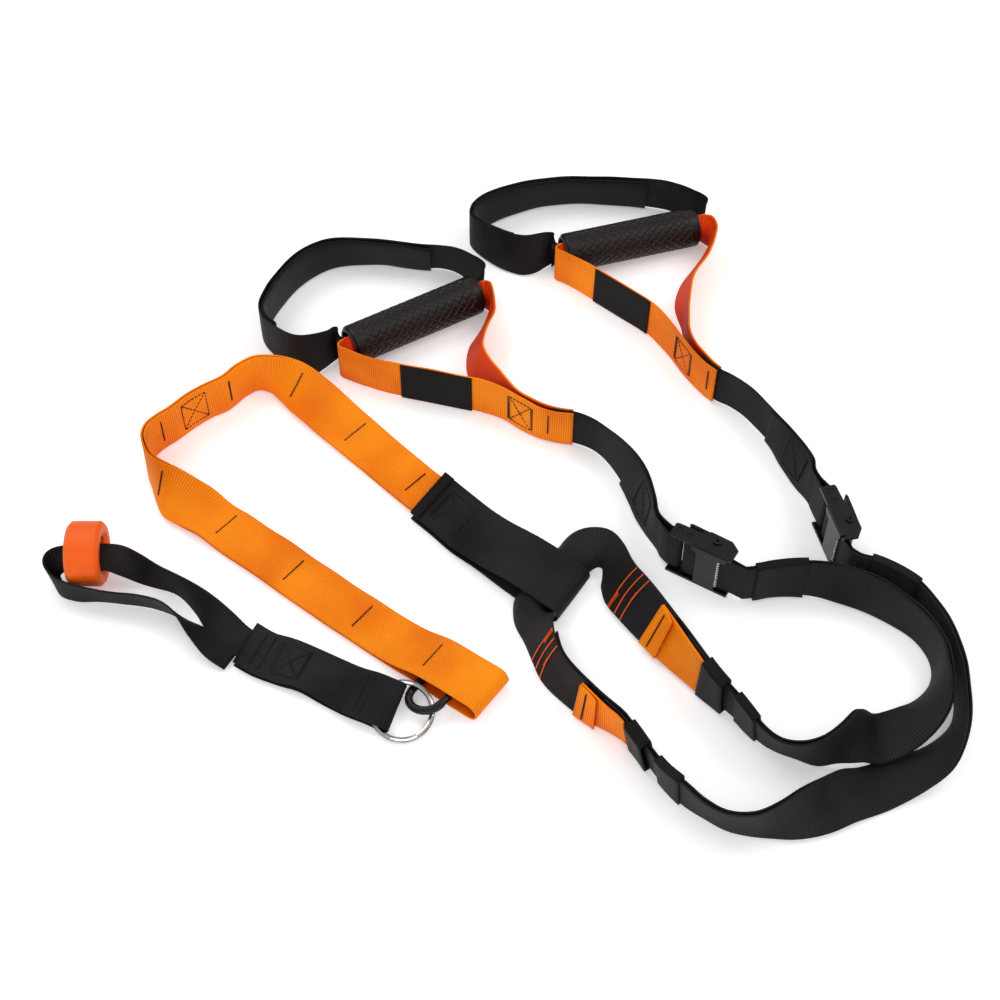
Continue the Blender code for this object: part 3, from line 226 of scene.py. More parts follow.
def waved(frames, height):
    """A strap that rises in slack waves: two sines of the distance along, between 0 and 1 and
    fading out towards both ends, lift it along its face by no less than nothing."""
    along = arc_length(frames)
    wave = sum(np.sin(2 * math.pi * along / length + length * 100) for length in WAVE_LENGTHS)
    calm = np.clip(np.minimum(along, along[-1] - along) / CALM_END - 1, 0, 1)
    calm = calm * calm * (3 - 2 * calm)
    made = frames.copy()
    lift = height * (wave / 4 + 0.5) * calm * frames[:, 8]
    made[:, MIDDLE] += frames[:, FACE] * lift[:, None]
    return made


def smoothed(mesh, smooth=True):
    """Shades a mesh round, or flat."""
    mesh.polygons.foreach_set("use_smooth", np.full(len(mesh.polygons), smooth))


def shown(name, data):
    """A new object of the scene."""
    made = bpy.data.objects.new(name, data)
    bpy.context.scene.collection.objects.link(made)
    return made


def placed(name, mesh, finish, nodes=(), body=BODY):
    """A mesh as a smooth piece on its body, instead of the solids that it stands for."""
    smoothed(mesh)
    mesh.materials.append(finish)
    piece = shown(name, mesh)
    if nodes:
        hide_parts(*nodes)
    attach(piece, body)
    return piece


def surface(name, grid, uv, finish, nodes=(), body=BODY, loop=False):
    """A closed skin over a grid of points, rows along and columns round: each cell joins a
    point to the next of its row and of its column. The ends are capped, or joined if loop."""
    rows, columns = grid.shape[:2]
    r = np.arange(rows if loop else rows - 1)[:, None]
    c = np.arange(columns)[None, :]
    nearer, farther, d = r * columns, (r + 1) % rows * columns, (c + 1) % columns
    cells = np.stack([nearer + c, farther + c, farther + d, nearer + d], axis=-1).reshape(-1, 4)
    points = grid.reshape(-1, 3)
    corners = points[cells]
    first = np.cross(corners[:, 1] - corners[:, 0], corners[:, 2] - corners[:, 0])
    second = np.cross(corners[:, 2] - corners[:, 0], corners[:, 3] - corners[:, 0])
    volume = np.sum(corners[:, 0] * (first + second))
    faces = cells.tolist()
    if not loop:
        faces += [list(range(columns)), list(range((rows - 1) * columns, rows * columns))[::-1]]
    if volume < 0:
        faces = [face[::-1] for face in faces]
    mesh = bpy.data.meshes.new(name)
    mesh.from_pydata(points.tolist(), [], faces)
    spots = np.zeros(len(mesh.loops), dtype=np.int32)
    mesh.loops.foreach_get("vertex_index", spots)
    layer = mesh.uv_layers.new(name="Weave")
    layer.data.foreach_set("uv", uv.reshape(-1, 2)[spots].ravel())
    return placed(name, mesh, finish, nodes, body)


def woven(name, frames, width, finish, nodes=(), thickness=WEB_THICKNESS, cells=14,
          ripple=RIPPLE, crown=0.0):
    """A strap: the outline of a flat section, whose edges are half circles, carried along the
    stations. A point x across and h out of the face is bent round a circle where the webbing
    curls: x turns into an angle x times curl over width. A sine of the distance along, whose
    phase drifts across, lifts it a little, and crown swells the middle as 1 - (2x/width)^4."""
    edge = thickness / 2
    turn = np.linspace(-math.pi / 2, math.pi / 2, EDGE_POINTS + 2)[1:-1]
    flat = np.linspace(-1, 1, cells + 1) * (width / 2 - edge)
    across = np.concatenate([flat, flat[-1] + edge * np.cos(turn), flat[::-1],
                             flat[0] - edge * np.cos(turn)])
    out = np.concatenate([np.full(cells + 1, -edge), edge * np.sin(turn),
                          np.full(cells + 1, edge), -edge * np.sin(turn)])
    out = out + np.sign(out) * crown * (1 - (2 * across / width) ** 4)
    along = arc_length(frames)[:, None]
    bend = np.where(np.abs(frames[:, CURL]) < 1e-4, 1e-4, frames[:, CURL])[:, None] / width
    angle = across[None, :] * bend
    lift = out[None, :] + ripple * np.sin(2 * math.pi * along / RIPPLE_LENGTH
                                          + 3 * across[None, :] / width)
    sine, cosine = np.sin(angle)[..., None], np.cos(angle)[..., None]
    bend, lift = bend[..., None], lift[..., None]
    grid = (frames[:, None, MIDDLE]
            + frames[:, None, ACROSS] * (sine / bend - lift * sine)
            + frames[:, None, FACE] * ((1 - cosine) / bend + lift * cosine))
    # Where it would dip through the floor, the floor presses it flat
    grid[..., 2] = np.maximum(grid[..., 2], FLOOR_CLEARANCE / 4)
    uv = np.stack(np.broadcast_arrays(along, across[None, :]), axis=-1)
    return surface(name, grid, uv, finish, nodes)


def on_strap(frames, start, marks, lift):
    """Points and face directions on a strap, for marks given as distance along from the
    station numbered start and distance across, both in metres, lift out of the middle."""
    along = arc_length(frames)
    marks = np.array(marks, float)
    where = along[start] + marks[:, 0]
    stations = np.column_stack([np.interp(where, along, frames[:, c]) for c in range(10)])
    face = unit(stations[:, FACE])
    bend = np.where(np.abs(stations[:, CURL]) < 1e-4, 1e-4, stations[:, CURL]) / WEB_WIDTH
    angle = (marks[:, 1] * bend)[:, None]
    bend = bend[:, None]
    sine, cosine = np.sin(angle), np.cos(angle)
    points = (stations[:, MIDDLE] + stations[:, ACROSS] * (sine / bend - lift * sine)
              + face * ((1 - cosine) / bend + lift * cosine))
    return points, face


def thread(name, runs, radius, finish):
    """Sewing thread: a six-sided ring carried along each run of points, turned about the
    direction of travel from the cloth's face direction. All runs are one mesh."""
    verts, faces = [], []
    ring = np.arange(RING_POINTS) * 2 * math.pi / RING_POINTS
    for points, face in runs:
        ahead = unit(np.gradient(points, axis=0))
        side = unit(np.cross(ahead, face))
        top = np.cross(side, ahead)
        grid = (points[:, None] + radius * (np.cos(ring)[None, :, None] * side[:, None]
                                            + np.sin(ring)[None, :, None] * top[:, None]))
        base, rows = len(verts), len(points)
        verts += grid.reshape(-1, 3).tolist()
        r = base + np.arange(rows - 1)[:, None] * RING_POINTS
        c = np.arange(RING_POINTS)[None, :]
        d = (c + 1) % RING_POINTS
        cells = np.stack([r + c, r + d, r + RING_POINTS + d, r + RING_POINTS + c], axis=-1)
        faces += cells.reshape(-1, 4).tolist()
        end = base + (rows - 1) * RING_POINTS
        faces += [list(range(base, base + RING_POINTS))[::-1], list(range(end, end + RING_POINTS))]
    mesh = bpy.data.meshes.new(name)
    mesh.from_pydata(verts, [], faces)
    work = bmesh.new()
    work.from_mesh(mesh)
    bmesh.ops.recalc_face_normals(work, faces=work.faces)
    work.to_mesh(mesh)
    work.free()
    return placed(name, mesh, finish)


def linear(code):
    """A hex colour as linear red, green, blue and alpha: the sRGB curve undone."""
    values = np.array([int(code[i:i + 2], 16) for i in (1, 3, 5)]) / 255
    values = np.where(values <= 0.04045, values / 12.92, ((values + 0.055) / 1.055) ** 2.4)
    return (*values, 1.0)


def add(tree, kind, links=(), **settings):
    """A node with its settings, and its inputs given as values or as outputs to link."""
    made = tree.nodes.new(kind)
    for key, value in settings.items():
        setattr(made, key, value)
    for socket, value in dict(links).items():
        if isinstance(value, bpy.types.NodeSocket):
            tree.links.new(value, made.inputs[socket])
        else:
            made.inputs[socket].default_value = value
    return made


def fresh(name, roughness, metallic=0.0, sheen=0.0, gloss=0.5):
    """A new material, its node tree and its shader."""
    made = bpy.data.materials.new(name)
    made.use_nodes = True
    shader = made.node_tree.nodes["Principled BSDF"]
    shader.inputs["Roughness"].default_value = roughness
    shader.inputs["Metallic"].default_value = metallic
    shader.inputs["Sheen Weight"].default_value = sheen
    shader.inputs["Specular IOR Level"].default_value = gloss
    return made, made.node_tree, shader


def maths(tree, operation, *values, clamp=False):
    """The output of a node that works out one number from others."""
    return add(tree, "ShaderNodeMath", dict(enumerate(values)), operation=operation,
               use_clamp=clamp).outputs[0]


def blend(tree, share, low, high):
    """The output of a node that blends two colours."""
    return add(tree, "ShaderNodeMix", {0: share, 6: low, 7: high}, data_type="RGBA").outputs[2]


def noise(tree, place, scale, detail=2.0):
    """The output of a noise over a place, with scale bumps to a metre."""
    return add(tree, "ShaderNodeTexNoise",
               {"Vector": place, "Scale": scale, "Detail": detail}).outputs[0]


def mottled(tree, shader, low, high, scale, detail=2.0):
    """Colours a shader by a noise that runs between two tones, and returns the place node's
    output, for more noise over the same place."""
    place = add(tree, "ShaderNodeTexCoord").outputs["Object"]
    mix = blend(tree, noise(tree, place, scale, detail), linear(low), linear(high))
    tree.links.new(mix, shader.inputs["Base Color"])
    return place


def bumped(tree, shader, height, strength, distance, links=()):
    """Tilts a shader's light by a height, distance metres at 1."""
    bump = add(tree, "ShaderNodeBump", {"Strength": strength, "Distance": distance,
                                        "Height": height, **dict(links)})
    tree.links.new(bump.outputs[0], shader.inputs["Normal"])


def webbing_finish(name, top, valley, rib, warp, depth=0.35, sheen=0.0, painted_shade=None):
    """Nylon webbing, woven: ribs run across the strap, one every rib metres, and each crosses
    a warp thread every warp metres, in a brick pattern. The real pitch is 1.2 mm, drawn
    coarser here so that it shows. Nylon is satin, so the ribs catch light and the valleys
    between them are darker: the colour is mixed from valley to top by the height, a painted
    highlight on the ribs and painted shade in the valleys. Height is |sin(row)| times
    0.65 + 0.35 |sin(column)|."""
    made, tree, shader = fresh(name, 0.6, sheen=sheen, gloss=0.12)
    place = add(tree, "ShaderNodeUVMap", uv_map="Weave")
    split = add(tree, "ShaderNodeSeparateXYZ", {0: place.outputs[0]})
    rows = maths(tree, "MULTIPLY", split.outputs[0], math.pi / rib)
    columns = maths(tree, "MULTIPLY", split.outputs[1], 1 / warp)
    odd = maths(tree, "PINGPONG", columns, 2.0)
    brick = maths(tree, "MULTIPLY_ADD", odd, BRICK_SHIFT, rows)
    ridge = maths(tree, "ABSOLUTE", maths(tree, "SINE", brick))
    turn = maths(tree, "MULTIPLY", columns, math.pi)
    crest = maths(tree, "ABSOLUTE", maths(tree, "SINE", turn))
    swell = maths(tree, "MULTIPLY_ADD", crest, CREST_SHARE, 1 - CREST_SHARE)
    height = maths(tree, "MULTIPLY", ridge, swell)
    # Wear mottles it finely, and painted light and shade of the cloth's slack waves broadly
    spot = add(tree, "ShaderNodeTexCoord").outputs["Object"]
    fine, broad = (maths(tree, "MULTIPLY_ADD", noise(tree, spot, scale, detail), strength,
                         -strength / 2) for scale, detail, strength in (WEAR, PAINTED_WAVE_SHADE))
    share = maths(tree, "ADD", height, maths(tree, "ADD", fine, broad), clamp=True)
    mix = blend(tree, share, linear(valley), linear(top))
    if painted_shade:
        # Painted shade: where other faces lie near, the colour is mixed towards a deeper red,
        # standing in for light that has bounced between two faces of one colour
        open_sky = add(tree, "ShaderNodeAmbientOcclusion", {"Distance": SHADE_REACH}, samples=6)
        low, high = SHADE_RANGE
        lit = add(tree, "ShaderNodeMapRange", {"Value": open_sky.outputs["AO"], "From Min": low,
                                               "From Max": high})
        mix = blend(tree, lit.outputs[0], linear(painted_shade), mix)
    tree.links.new(mix, shader.inputs["Base Color"])
    bumped(tree, shader, height, depth, WEAVE_RELIEF)
    return made


def thread_finish(name, shade, tone):
    """Bonded polyester sewing thread: twisted, so a little glossier than the webbing."""
    made, tree, shader = fresh(name, 0.5, gloss=0.3)
    mottled(tree, shader, shade, tone, 900.0)
    return made


def tack(frames, start, middle, width, lift, along=0.0):
    """A bar tack: a close zigzag across the strap about a middle, 0.5 mm each way."""
    count = int(width / TACK_PITCH)
    across = middle + np.linspace(-width / 2, width / 2, count)
    sway = along + TACK_SWAY * (-1.0) ** np.arange(count)
    return on_strap(frames, start, np.column_stack([sway, across]), lift)


def seam(frames, start, corners, lift):
    """A running stitch along straight lines between corners: dashes a stitch long, each
    dipping into the cloth at its ends."""
    dash = STITCH_LENGTH
    runs = []
    corners = np.array(corners, float)
    for low, high in zip(corners[:-1], corners[1:]):
        length = np.linalg.norm(high - low)
        for begin in np.arange(0, length - dash / 2, dash + STITCH_GAP):
            share = np.linspace(begin, min(begin + dash, length), 5)[:, None] / length
            points, face = on_strap(frames, start, low + (high - low) * share, lift)
            dip = np.array([1.0, 0.2, 0, 0.2, 1.0])[:, None] * THREAD_RADIUS * np.sign(-lift)
            runs.append((points + face * dip, face))
    return runs


# Its folds and occluded faces get a painted shade of deeper red
orange_web = webbing_finish("orange_nylon_webbing", "#FF920E", "#DC6400", WEB_RIB, 0.0021,
                            painted_shade="#D03406")
black_web = webbing_finish("black_nylon_webbing", "#262324", "#060505", WEB_RIB, 0.0016, 0.5)
black_thread = thread_finish("black_sewing_thread", "#030202", "#140C0A")
SURFACE = WEB_THICKNESS / 2 + THREAD_RADIUS * 0.4

run = waved(follow(ANCHOR, ANCHOR_WIDTH), WAVE_HEIGHT)
gaps = opened(run, LAYER / 2, ANCHOR_FOLD_RADIUS, ANCHOR_FLAT_OPEN, ANCHOR_OPEN_LENGTH)
woven("anchor_webbing", folded(run, gaps), ANCHOR_WIDTH, orange_web,
      ["anchor_strap"])


def boxed_cross(frames, start, length, width, lift, along=0.0, bars=True):
    """A box with both diagonals in running stitch, between two bar tacks."""
    low, high, half = along, along + length, width / 2
    box = [(low, -half), (high, -half), (high, half), (low, half), (low, -half), (high, half)]
    runs = seam(frames, start, box, lift) + seam(frames, start, [(high, -half), (low, half)], lift)
    if bars:
        runs.append(tack(frames, start, 0, width, lift, low - BAR_OFFSET))
        runs.append(tack(frames, start, 0, width, lift, high + BAR_OFFSET))
    return runs


# Each bar goes through both layers and shows on both of their outsides, but not on the floor
tacks = []
for layer, lift in ((shifted(run, gaps), SURFACE), (shifted(run, -gaps), -SURFACE)):
    tacks += [tack(layer, 0, 0.001, TACK_WIDTH, lift, place) for place in TACK_PLACES]
    tacks += boxed_cross(layer, 0, *ANCHOR_BOX, lift, BOX_PLACE, bars=False)
tacks = [bar for bar in tacks if bar[0][:, 2].min() > WEB_THICKNESS]
thread("anchor_bar_tacks", tacks, THREAD_RADIUS, black_thread)


# Connector loop: black webbing 48 mm wide, folded over the anchor strap's end, sewn through
# by a boxed cross between two bars, and open at its other end for the yoke.
CONNECTOR_WIDTH = 0.048
CONNECTOR = [
    (-57, 0, 4.4, 56, 0), (-38, -19, 4.4, 54, 0), (-22, -36, 5.4, 52, 0), (-5, -51, 7.2, 54, 0),
    (11, -65, 8.6, 56, 0), (30, -80.5, 9.0, 57, 0), (48.5, -96, 8.8, 57, 0),
]
CONNECTOR_FOLD_RADIUS = 0.0084
CONNECTOR_FLAT_OPEN = 0.032
CONNECTOR_OPEN_LENGTH = 0.075
elastic = webbing_finish("black_elastic", "#1A1716", "#080707", 0.0016, 0.0013, 0.4, 0.02)
run = follow(CONNECTOR, CONNECTOR_WIDTH)
gaps = opened(run, LAYER / 2 + LAYER, CONNECTOR_FOLD_RADIUS, CONNECTOR_FLAT_OPEN,
              CONNECTOR_OPEN_LENGTH)
woven("connector_webbing", folded(run, gaps), CONNECTOR_WIDTH, black_web,
      ["connector_loop"])
# Its end is turned under in a hem, a second layer 9 mm long with a raised edge
HEM_LENGTH = 0.0085
CONNECTOR_BOX = (0.026, 0.030)
CONNECTOR_BOX_PLACE = 0.016
shade_thread = thread_finish("black_thread_on_black", "#020202", "#0C0A0A")
hem = shifted(run, gaps + WEB_THICKNESS * 0.9)[:int(HEM_LENGTH / STRAP_STEP) + 2]
woven("connector_hem", hem, CONNECTOR_WIDTH, elastic, cells=8)
runs = boxed_cross(shifted(run, gaps), 0, *CONNECTOR_BOX, SURFACE, CONNECTOR_BOX_PLACE)
thread("connector_stitches", runs, THREAD_RADIUS, shade_thread)


# Yoke: a black webbing 40 mm wide that slips through the connector loop, its two branches sewn
# over the length straps with orange thread, in three bowed lines across each branch.
YOKE_WIDTH = 0.040
YOKE_LAYER = LAYER + 2 * GAP
OUTER_LOOP = [
    (264.8, -79.5, 4.4, 260, -90), (270, -83.5, 3.8, 240, -90), (282, -87, 2.8, 226, -90),
    (297, -95, 2.2, 226, -90), (312, -108, 2.2, 222, -90), (324, -127, 0.8, 215, -90),
    (332, -150, 0.4, 200, -90), (335, -171, 0.4, 180, -90), (334.5, -193, 0.4, 162, -89),
    (330, -213, 0.4, 152, -80), (320.5, -230, 0.6, 146, -60), (306, -243.5, 1.0, 140, -32),
    (286, -252, 1.2, 134, -10), (264, -260.5, 1.2, 124, 0), (243, -269, 1.2, 110, 16),
    (225, -279, 1.2, 102, 32), (208, -287, 1.0, 96, 54), (191, -293, 0.8, 92, 78),
    (174, -296, 0.6, 88, 95), (156, -293, 0.8, 76, 102), (141, -284.5, 1.8, 60, 102),
    (128, -273, 2.2, 46, 98), (117, -261, 2.2, 38, 100), (107, -246, 2.8, 32, 101),
    (99, -232, 2.8, 32, 101), (90, -219, 2.2, 32, 99), (79, -209, 0.8, 36, 94),
    (65, -198, 0.4, 36, 84), (51, -184, 0.4, 30, 78), (40, -168, 0.4, 22, 72),
]
YOKE_RUN = [
    (34, -150, 1.6, 14, 66), (29, -134, 1.6, 6, 56, 30), (24.5, -120, 3.8, -14, 30, 80),
    (24, -107.5, 10.4, -36, 2, 140), (31.6, -97.5, 11.8, -40, 0, 150),
    (39.3, -88.3, 11.9, -40, 0, 150), (46, -78.3, 12.1, -40, 0, 150),
    (54.5, -67, 12.0, -42, 0, 140), (67.5, -57.5, 9.4, -56, -12, 100),
    (80, -63, 3.8, -92, -32, 50),
    (87.5, -78, 2.6, -126, -44, 10), (93, -94, 2.2, -139, -46), (101, -106, 2.0, -142, -46),
]
INNER_LOOP = [
    (114, -126, 1.2, -142, -54), (129, -148, 1.0, -140, -68), (143, -168, 1.8, -138, -80),
    (154, -183, 2.4, -136, -90), (163, -194, 2.4, -136, -95), (171, -204, 2.9, -134, -98),
    (179, -216, 2.9, -132, -100), (188, -227, 2.2, -126, -105), (198, -233.5, 0.8, -110, -109),
    (211, -238, 0.8, -96, -105), (225, -239.5, 1.6, -92, -90), (239, -235, 5.4, -90, -74),
    (254, -228, 8.2, -86, -38), (270, -225, 7.4, -82, -7), (286, -219.5, 7.0, -70, 9),
    (300, -211.5, 5.6, -54, 27), (312, -200, 3.0, -38, 48), (319, -187, 1.0, -28, 67),
    (322.5, -174, 0.4, -12, 80), (323.5, -161, 0.4, 4, 86), (320.5, -148, 0.4, 20, 90),
    (313, -134, 0.4, 35, 90), (299, -119, 0.4, 50, 86), (280, -105, 0.6, 62, 80),
    (260, -96.5, 1.4, 72, 80), (242, -92, 2.2, 80, 84), (222, -90.5, 2.4, 86, 88),
    (205, -92, 2.6, 90, 90), (192, -95.5, 3.6, 90, 90), (183.5, -96.9, 4.4, 90, 90),
]
PLACES = {
    "right strap end": (35, -153), "left yoke end": (62, -196), "right yoke end": (124, -141),
    "left strap end": (97, -100),
}
line = follow(OUTER_LOOP + YOKE_RUN + INNER_LOOP, WEB_WIDTH)
left_yoke, right_yoke = (nearest(line, PLACES["%s yoke end" % side]) for side in ("left", "right"))
yoke = shifted(line[left_yoke:right_yoke + 1], -YOKE_LAYER)
woven("yoke_webbing", yoke, YOKE_WIDTH, black_web, ["yoke_strap"])
orange_thread = thread_finish("orange_sewing_thread", "#E8480C", "#FF6A1E")
ARC_SPACING = 0.0072
ARC_PLACES = {"left": (0.0550, -1), "right": (0.2195, 1)}
ARC_SAG = 0.0022
ARC_POINTS = 40
ZIGZAG_SWAY = 0.0015
ZIGZAG_POINTS = 34
KNOT_LENGTH = 0.008


def bowed(frames, start, along, sag, half, lift):
    """A line of thread across the strap, bowed along it as 1 - (x/half)^2."""
    across = np.linspace(-half, half, ARC_POINTS)
    bow = along + sag * (1 - (across / half) ** 2)
    return on_strap(frames, start, np.column_stack([bow, across]), lift)


runs = []
for side, (place, sense) in ARC_PLACES.items():
    half = YOKE_WIDTH / 2 - 0.0006
    for number in range(3):
        runs.append(bowed(yoke, 0, place + sense * number * ARC_SPACING, -sense * ARC_SAG,
                          half, -SURFACE))
    # The first line starts with a dense zigzag, and the last has a short knot by its middle
    across = np.linspace(half, 0.3 * half, ZIGZAG_POINTS)
    sway = place + ZIGZAG_SWAY * (-1.0) ** np.arange(ZIGZAG_POINTS) - sense * 0.0006
    runs.append(on_strap(yoke, 0, np.column_stack([sway, across]), -SURFACE - THREAD_RADIUS))
    runs.append(tack(yoke, 0, -0.002, KNOT_LENGTH, -SURFACE - THREAD_RADIUS,
                     place + sense * (2 * ARC_SPACING - ARC_SAG)))
thread("yoke_stitches", runs, THREAD_RADIUS, orange_thread)


# Length straps: black webbing 38 mm wide. Each runs from its cam buckle round a loop on the
# floor to the yoke, and its tail comes back along it from the buckle to an orange pull tab.
BUCKLE_LENGTH = 0.052
SIDE_CLEARANCE = 0.0020
PLATE_THICKNESS = 0.0024
BUCKLE_WIDTH = WEB_WIDTH + 2 * SIDE_CLEARANCE + 2 * PLATE_THICKNESS
HANDLE_BAR_PLACE = (0.0050, 0.0070)
HANDLE_BAR_RADIUS = 0.0025
TURN_BAR_PLACE = (0.0150, 0.0064)
TURN_BAR_RADIUS = 0.00225
NEAR_LAYER_DEPTH = 0.0031
FAR_LAYER_DEPTH = NEAR_LAYER_DEPTH + LAYER
BUCKLE_PLACES = {"left": (127.6, -68.3, -31.0), "right": (246.0, -24.0, -76.5)}


def local_rows(place_row, pairs, toward, curl=0.0):
    """Rows in a piece's own frame, in route units, as route rows with their middle held."""
    x, y, degrees = place_row
    cosine, sine = math.cos(math.radians(degrees)), math.sin(math.radians(degrees))
    return [(x + a * cosine - b * sine, y + a * sine + b * cosine, -1, toward, 90, curl)
            for a, b in pairs]


def buckle_run(side):
    """Stations of the length strap inside its buckle: in along the far side of the turn bar,
    round it and out along the near side."""
    length, (bar_a, bar_b) = BUCKLE_LENGTH, TURN_BAR_PLACE
    radius = TURN_BAR_RADIUS + 2 * GAP + WEB_THICKNESS / 2
    ramp = bar_a + 2 * TURN_BAR_RADIUS
    settle = bar_a + 4 * TURN_BAR_RADIUS
    arc = [(bar_a + radius * math.cos(angle), bar_b + radius * math.sin(angle))
           for angle in np.linspace(math.pi / 2, 3 * math.pi / 2, 9)]
    far = [(length - GAP, FAR_LAYER_DEPTH), ((length + settle) / 2, FAR_LAYER_DEPTH),
           (settle, FAR_LAYER_DEPTH + GAP), (ramp, (FAR_LAYER_DEPTH + arc[0][1]) / 2)]
    near = [(ramp, (NEAR_LAYER_DEPTH + arc[-1][1]) / 2), (settle, NEAR_LAYER_DEPTH),
            ((length + settle) / 2, NEAR_LAYER_DEPTH), (length - GAP, NEAR_LAYER_DEPTH)]
    pairs = [(a / ROUTE_UNIT, b / ROUTE_UNIT) for a, b in far + arc + near]
    rows = local_rows(BUCKLE_PLACES[side], pairs, 90)
    return follow(rows, WEB_WIDTH, middle_height=BUCKLE_WIDTH / 2)


def aligned(frames, like):
    """Stations whose width direction runs the same way as that of another station."""
    made = frames.copy()
    if np.dot(made[0, ACROSS], like[ACROSS]) < 0:
        made[:, ACROSS] *= -1
        made[:, FACE] *= -1
    return made


right_end = nearest(line, PLACES["right strap end"])
left_end = nearest(line, PLACES["left strap end"])
ways = {
    "right": (backward(line[:right_end + 1]), left_yoke),
    "left": (line[left_end:], len(line) - 1 - right_yoke),
}
TAIL_GAP = 0.026
for side, (main, tail_count) in ways.items():
    tail = backward(shifted(main, -LAYER))[:tail_count - int(TAIL_GAP / STRAP_STEP) + 1]
    strap = np.vstack([main, aligned(buckle_run(side), main[-1]), tail])
    woven("%s_length_webbing" % side, strap, WEB_WIDTH, black_web,
          ["%s_length_strap" % side])


# Pull tabs: orange webbing sewn to the tails. The first 16 mm is folded back on itself as a
# lip, held by a bar tack in black thread.
TAB_SPANS = {"left": ((117, -130), (150, -177)), "right": ((60, -194), (93, -223))}
LIP_LENGTH = 0.016
LIP_GAP = 0.0002
LIP_RISE = 0.0016
LIP_INSET = 0.0004
LIP_TACK_WIDTH = 0.031
LIP_TACK_PLACE = 0.0075
tab_tacks = []
for side, spans in TAB_SPANS.items():
    tab = shifted(between(line, spans), -LAYER - YOKE_LAYER)
    # The lip is at the end that is nearer to the yoke
    reach = np.linalg.norm(tab[[0, -1], :2] - yoke[-1 if side == "left" else 0, :2], axis=1)
    if reach[0] > reach[1]:
        tab = backward(tab)
    count = int(np.searchsorted(arc_length(tab), LIP_LENGTH))
    rise = LIP_RISE * np.linspace(0, 1, count + 1) ** 3
    lip = backward(shifted(tab[:count + 1], -WEB_THICKNESS - LIP_GAP - rise))
    woven("%s_pull_tab_webbing" % side, tab, WEB_WIDTH, orange_web,
          ["%s_pull_tab" % side])
    woven("%s_pull_tab_lip" % side, lip, WEB_WIDTH - 2 * LIP_INSET, orange_web)
    tab_tacks.append(tack(lip, len(lip) - 1, 0, LIP_TACK_WIDTH, -SURFACE, -LIP_TACK_PLACE))
thread("pull_tab_tacks", tab_tacks, THREAD_RADIUS, black_thread)


# Keepers: short bands of black elastic, woven as a tube and slipped over both layers of a
# length strap. Elastic is duller than webbing, with finer ribs.
KEEPER_SPANS = {
    "left": [((192, -95), (232, -90)), ((150, -178), (164, -195)), ((171, -204), (183, -221))],
    "right": [((280, -86), (311, -107)), ((97, -228), (106, -244)), ((113, -255), (127, -272))],
}
KEEPER_THICKNESS = 0.0014
BAND_COLUMNS = 16
CORNER_POINTS = 5


def band_outline(width, low, high, grow):
    """A rounded rectangle round the layers: four quarter circles, and points along its long
    sides."""
    turn = np.linspace(0, math.pi / 2, CORNER_POINTS)
    r = GAP + grow
    half, bottom, top = width / 2 + r, low - r, high + r
    corners = [(half - r, top - r), (-half + r, top - r), (-half + r, bottom + r),
               (half - r, bottom + r)]
    rows = []
    for quarter, (x, y) in enumerate(corners):
        a = turn + quarter * math.pi / 2
        rows.append(np.column_stack([x + r * np.cos(a), y + r * np.sin(a)]))
        if quarter in (0, 2):
            sign = 1 - quarter
            xs = np.linspace(half - r, -half + r, BAND_COLUMNS + 1)[1:-1] * sign
            rows.append(np.column_stack([xs, np.full(len(xs), y + r * sign)]))
    return np.vstack(rows)


def band(name, frames, width, low, high, node):
    """A closed band round the layers, out along its inside and back along its outside."""
    inner = band_outline(width, low, high, 0.0)
    outer = band_outline(width, low, high, KEEPER_THICKNESS)
    order = np.concatenate([frames, backward(frames)])
    count = len(frames)
    shape = np.concatenate([np.tile(outer, (count, 1, 1)), np.tile(inner, (count, 1, 1))])
    grid = (order[:, None, MIDDLE] + order[:, None, ACROSS] * shape[..., :1]
            + order[:, None, FACE] * shape[..., 1:])
    along = arc_length(frames)
    along = np.concatenate([along, along[::-1]])[:, None]
    round_it = np.append(0, np.cumsum(np.linalg.norm(np.diff(outer, axis=0), axis=1)))[None, :]
    uv = np.stack(np.broadcast_arrays(along, round_it), axis=-1)
    return surface(name, grid, uv, elastic, [node], loop=True)


for side, spans in KEEPER_SPANS.items():
    for number, span in enumerate(spans):
        depth = LAYER + YOKE_LAYER if number == 1 else LAYER
        node = "%s_keeper_%d" % (side, number + 1)
        band(node + "_band", between(line, span), WEB_WIDTH, -depth - WEB_THICKNESS / 2,
             WEB_THICKNESS / 2, node)


# Grips: a turned sleeve of moulded rubber on a plastic tube. Two families of grooves wind
# round it in opposite senses and leave a basket of diamonds, each a little tilted.
GRIP_PLACES = {"left": (-127.0, 151.0, 30.3), "right": (55.6, 262.5, 16.3)}
GRIP_LENGTH = 0.124
GRIP_RADIUS = 0.01725
SLEEVE_WALL = 0.0020
TUBE_WALL = 0.0015
TUBE_LIP = 0.0012
TROUGH_NESTING = 0.0030
THROUGH_SHARES = (-0.015, 0.02, 0.5, 0.98, 1.0)
LEFT_END_SHARES = (0.49, 0.25, 0.02, -0.015)
RIGHT_END_SHARES = (1.015, 0.98, 0.75, 0.51)
BORE_RADIUS = GRIP_RADIUS - SLEEVE_WALL - GAP - TUBE_WALL
TROUGH_RADIUS = BORE_RADIUS - 2 * GAP - WEB_THICKNESS / 2
NESTED_RADIUS = TROUGH_RADIUS - TROUGH_NESTING
GROOVE_PITCH = 0.0080
GROOVE_DEPTH = 0.0009
GROOVE_WIDTH = 0.10
END_BAND = 0.0075
END_ROUND = 0.0022
BAND_EDGE = 0.0015
DIAMOND_TILT = 0.14
SLEEVE_ROWS = 300
SLEEVE_COLUMNS = 260


def rubber_finish():
    """Moulded rubber: dull black, a touch brown, with a fine grain from its mould."""
    made, tree, shader = fresh("moulded_black_rubber", 0.36, gloss=0.3)
    spot = mottled(tree, shader, "#0C0706", "#1A100D", 60.0)
    bumped(tree, shader, noise(tree, spot, 1400.0), 0.25, 0.0002)
    return made


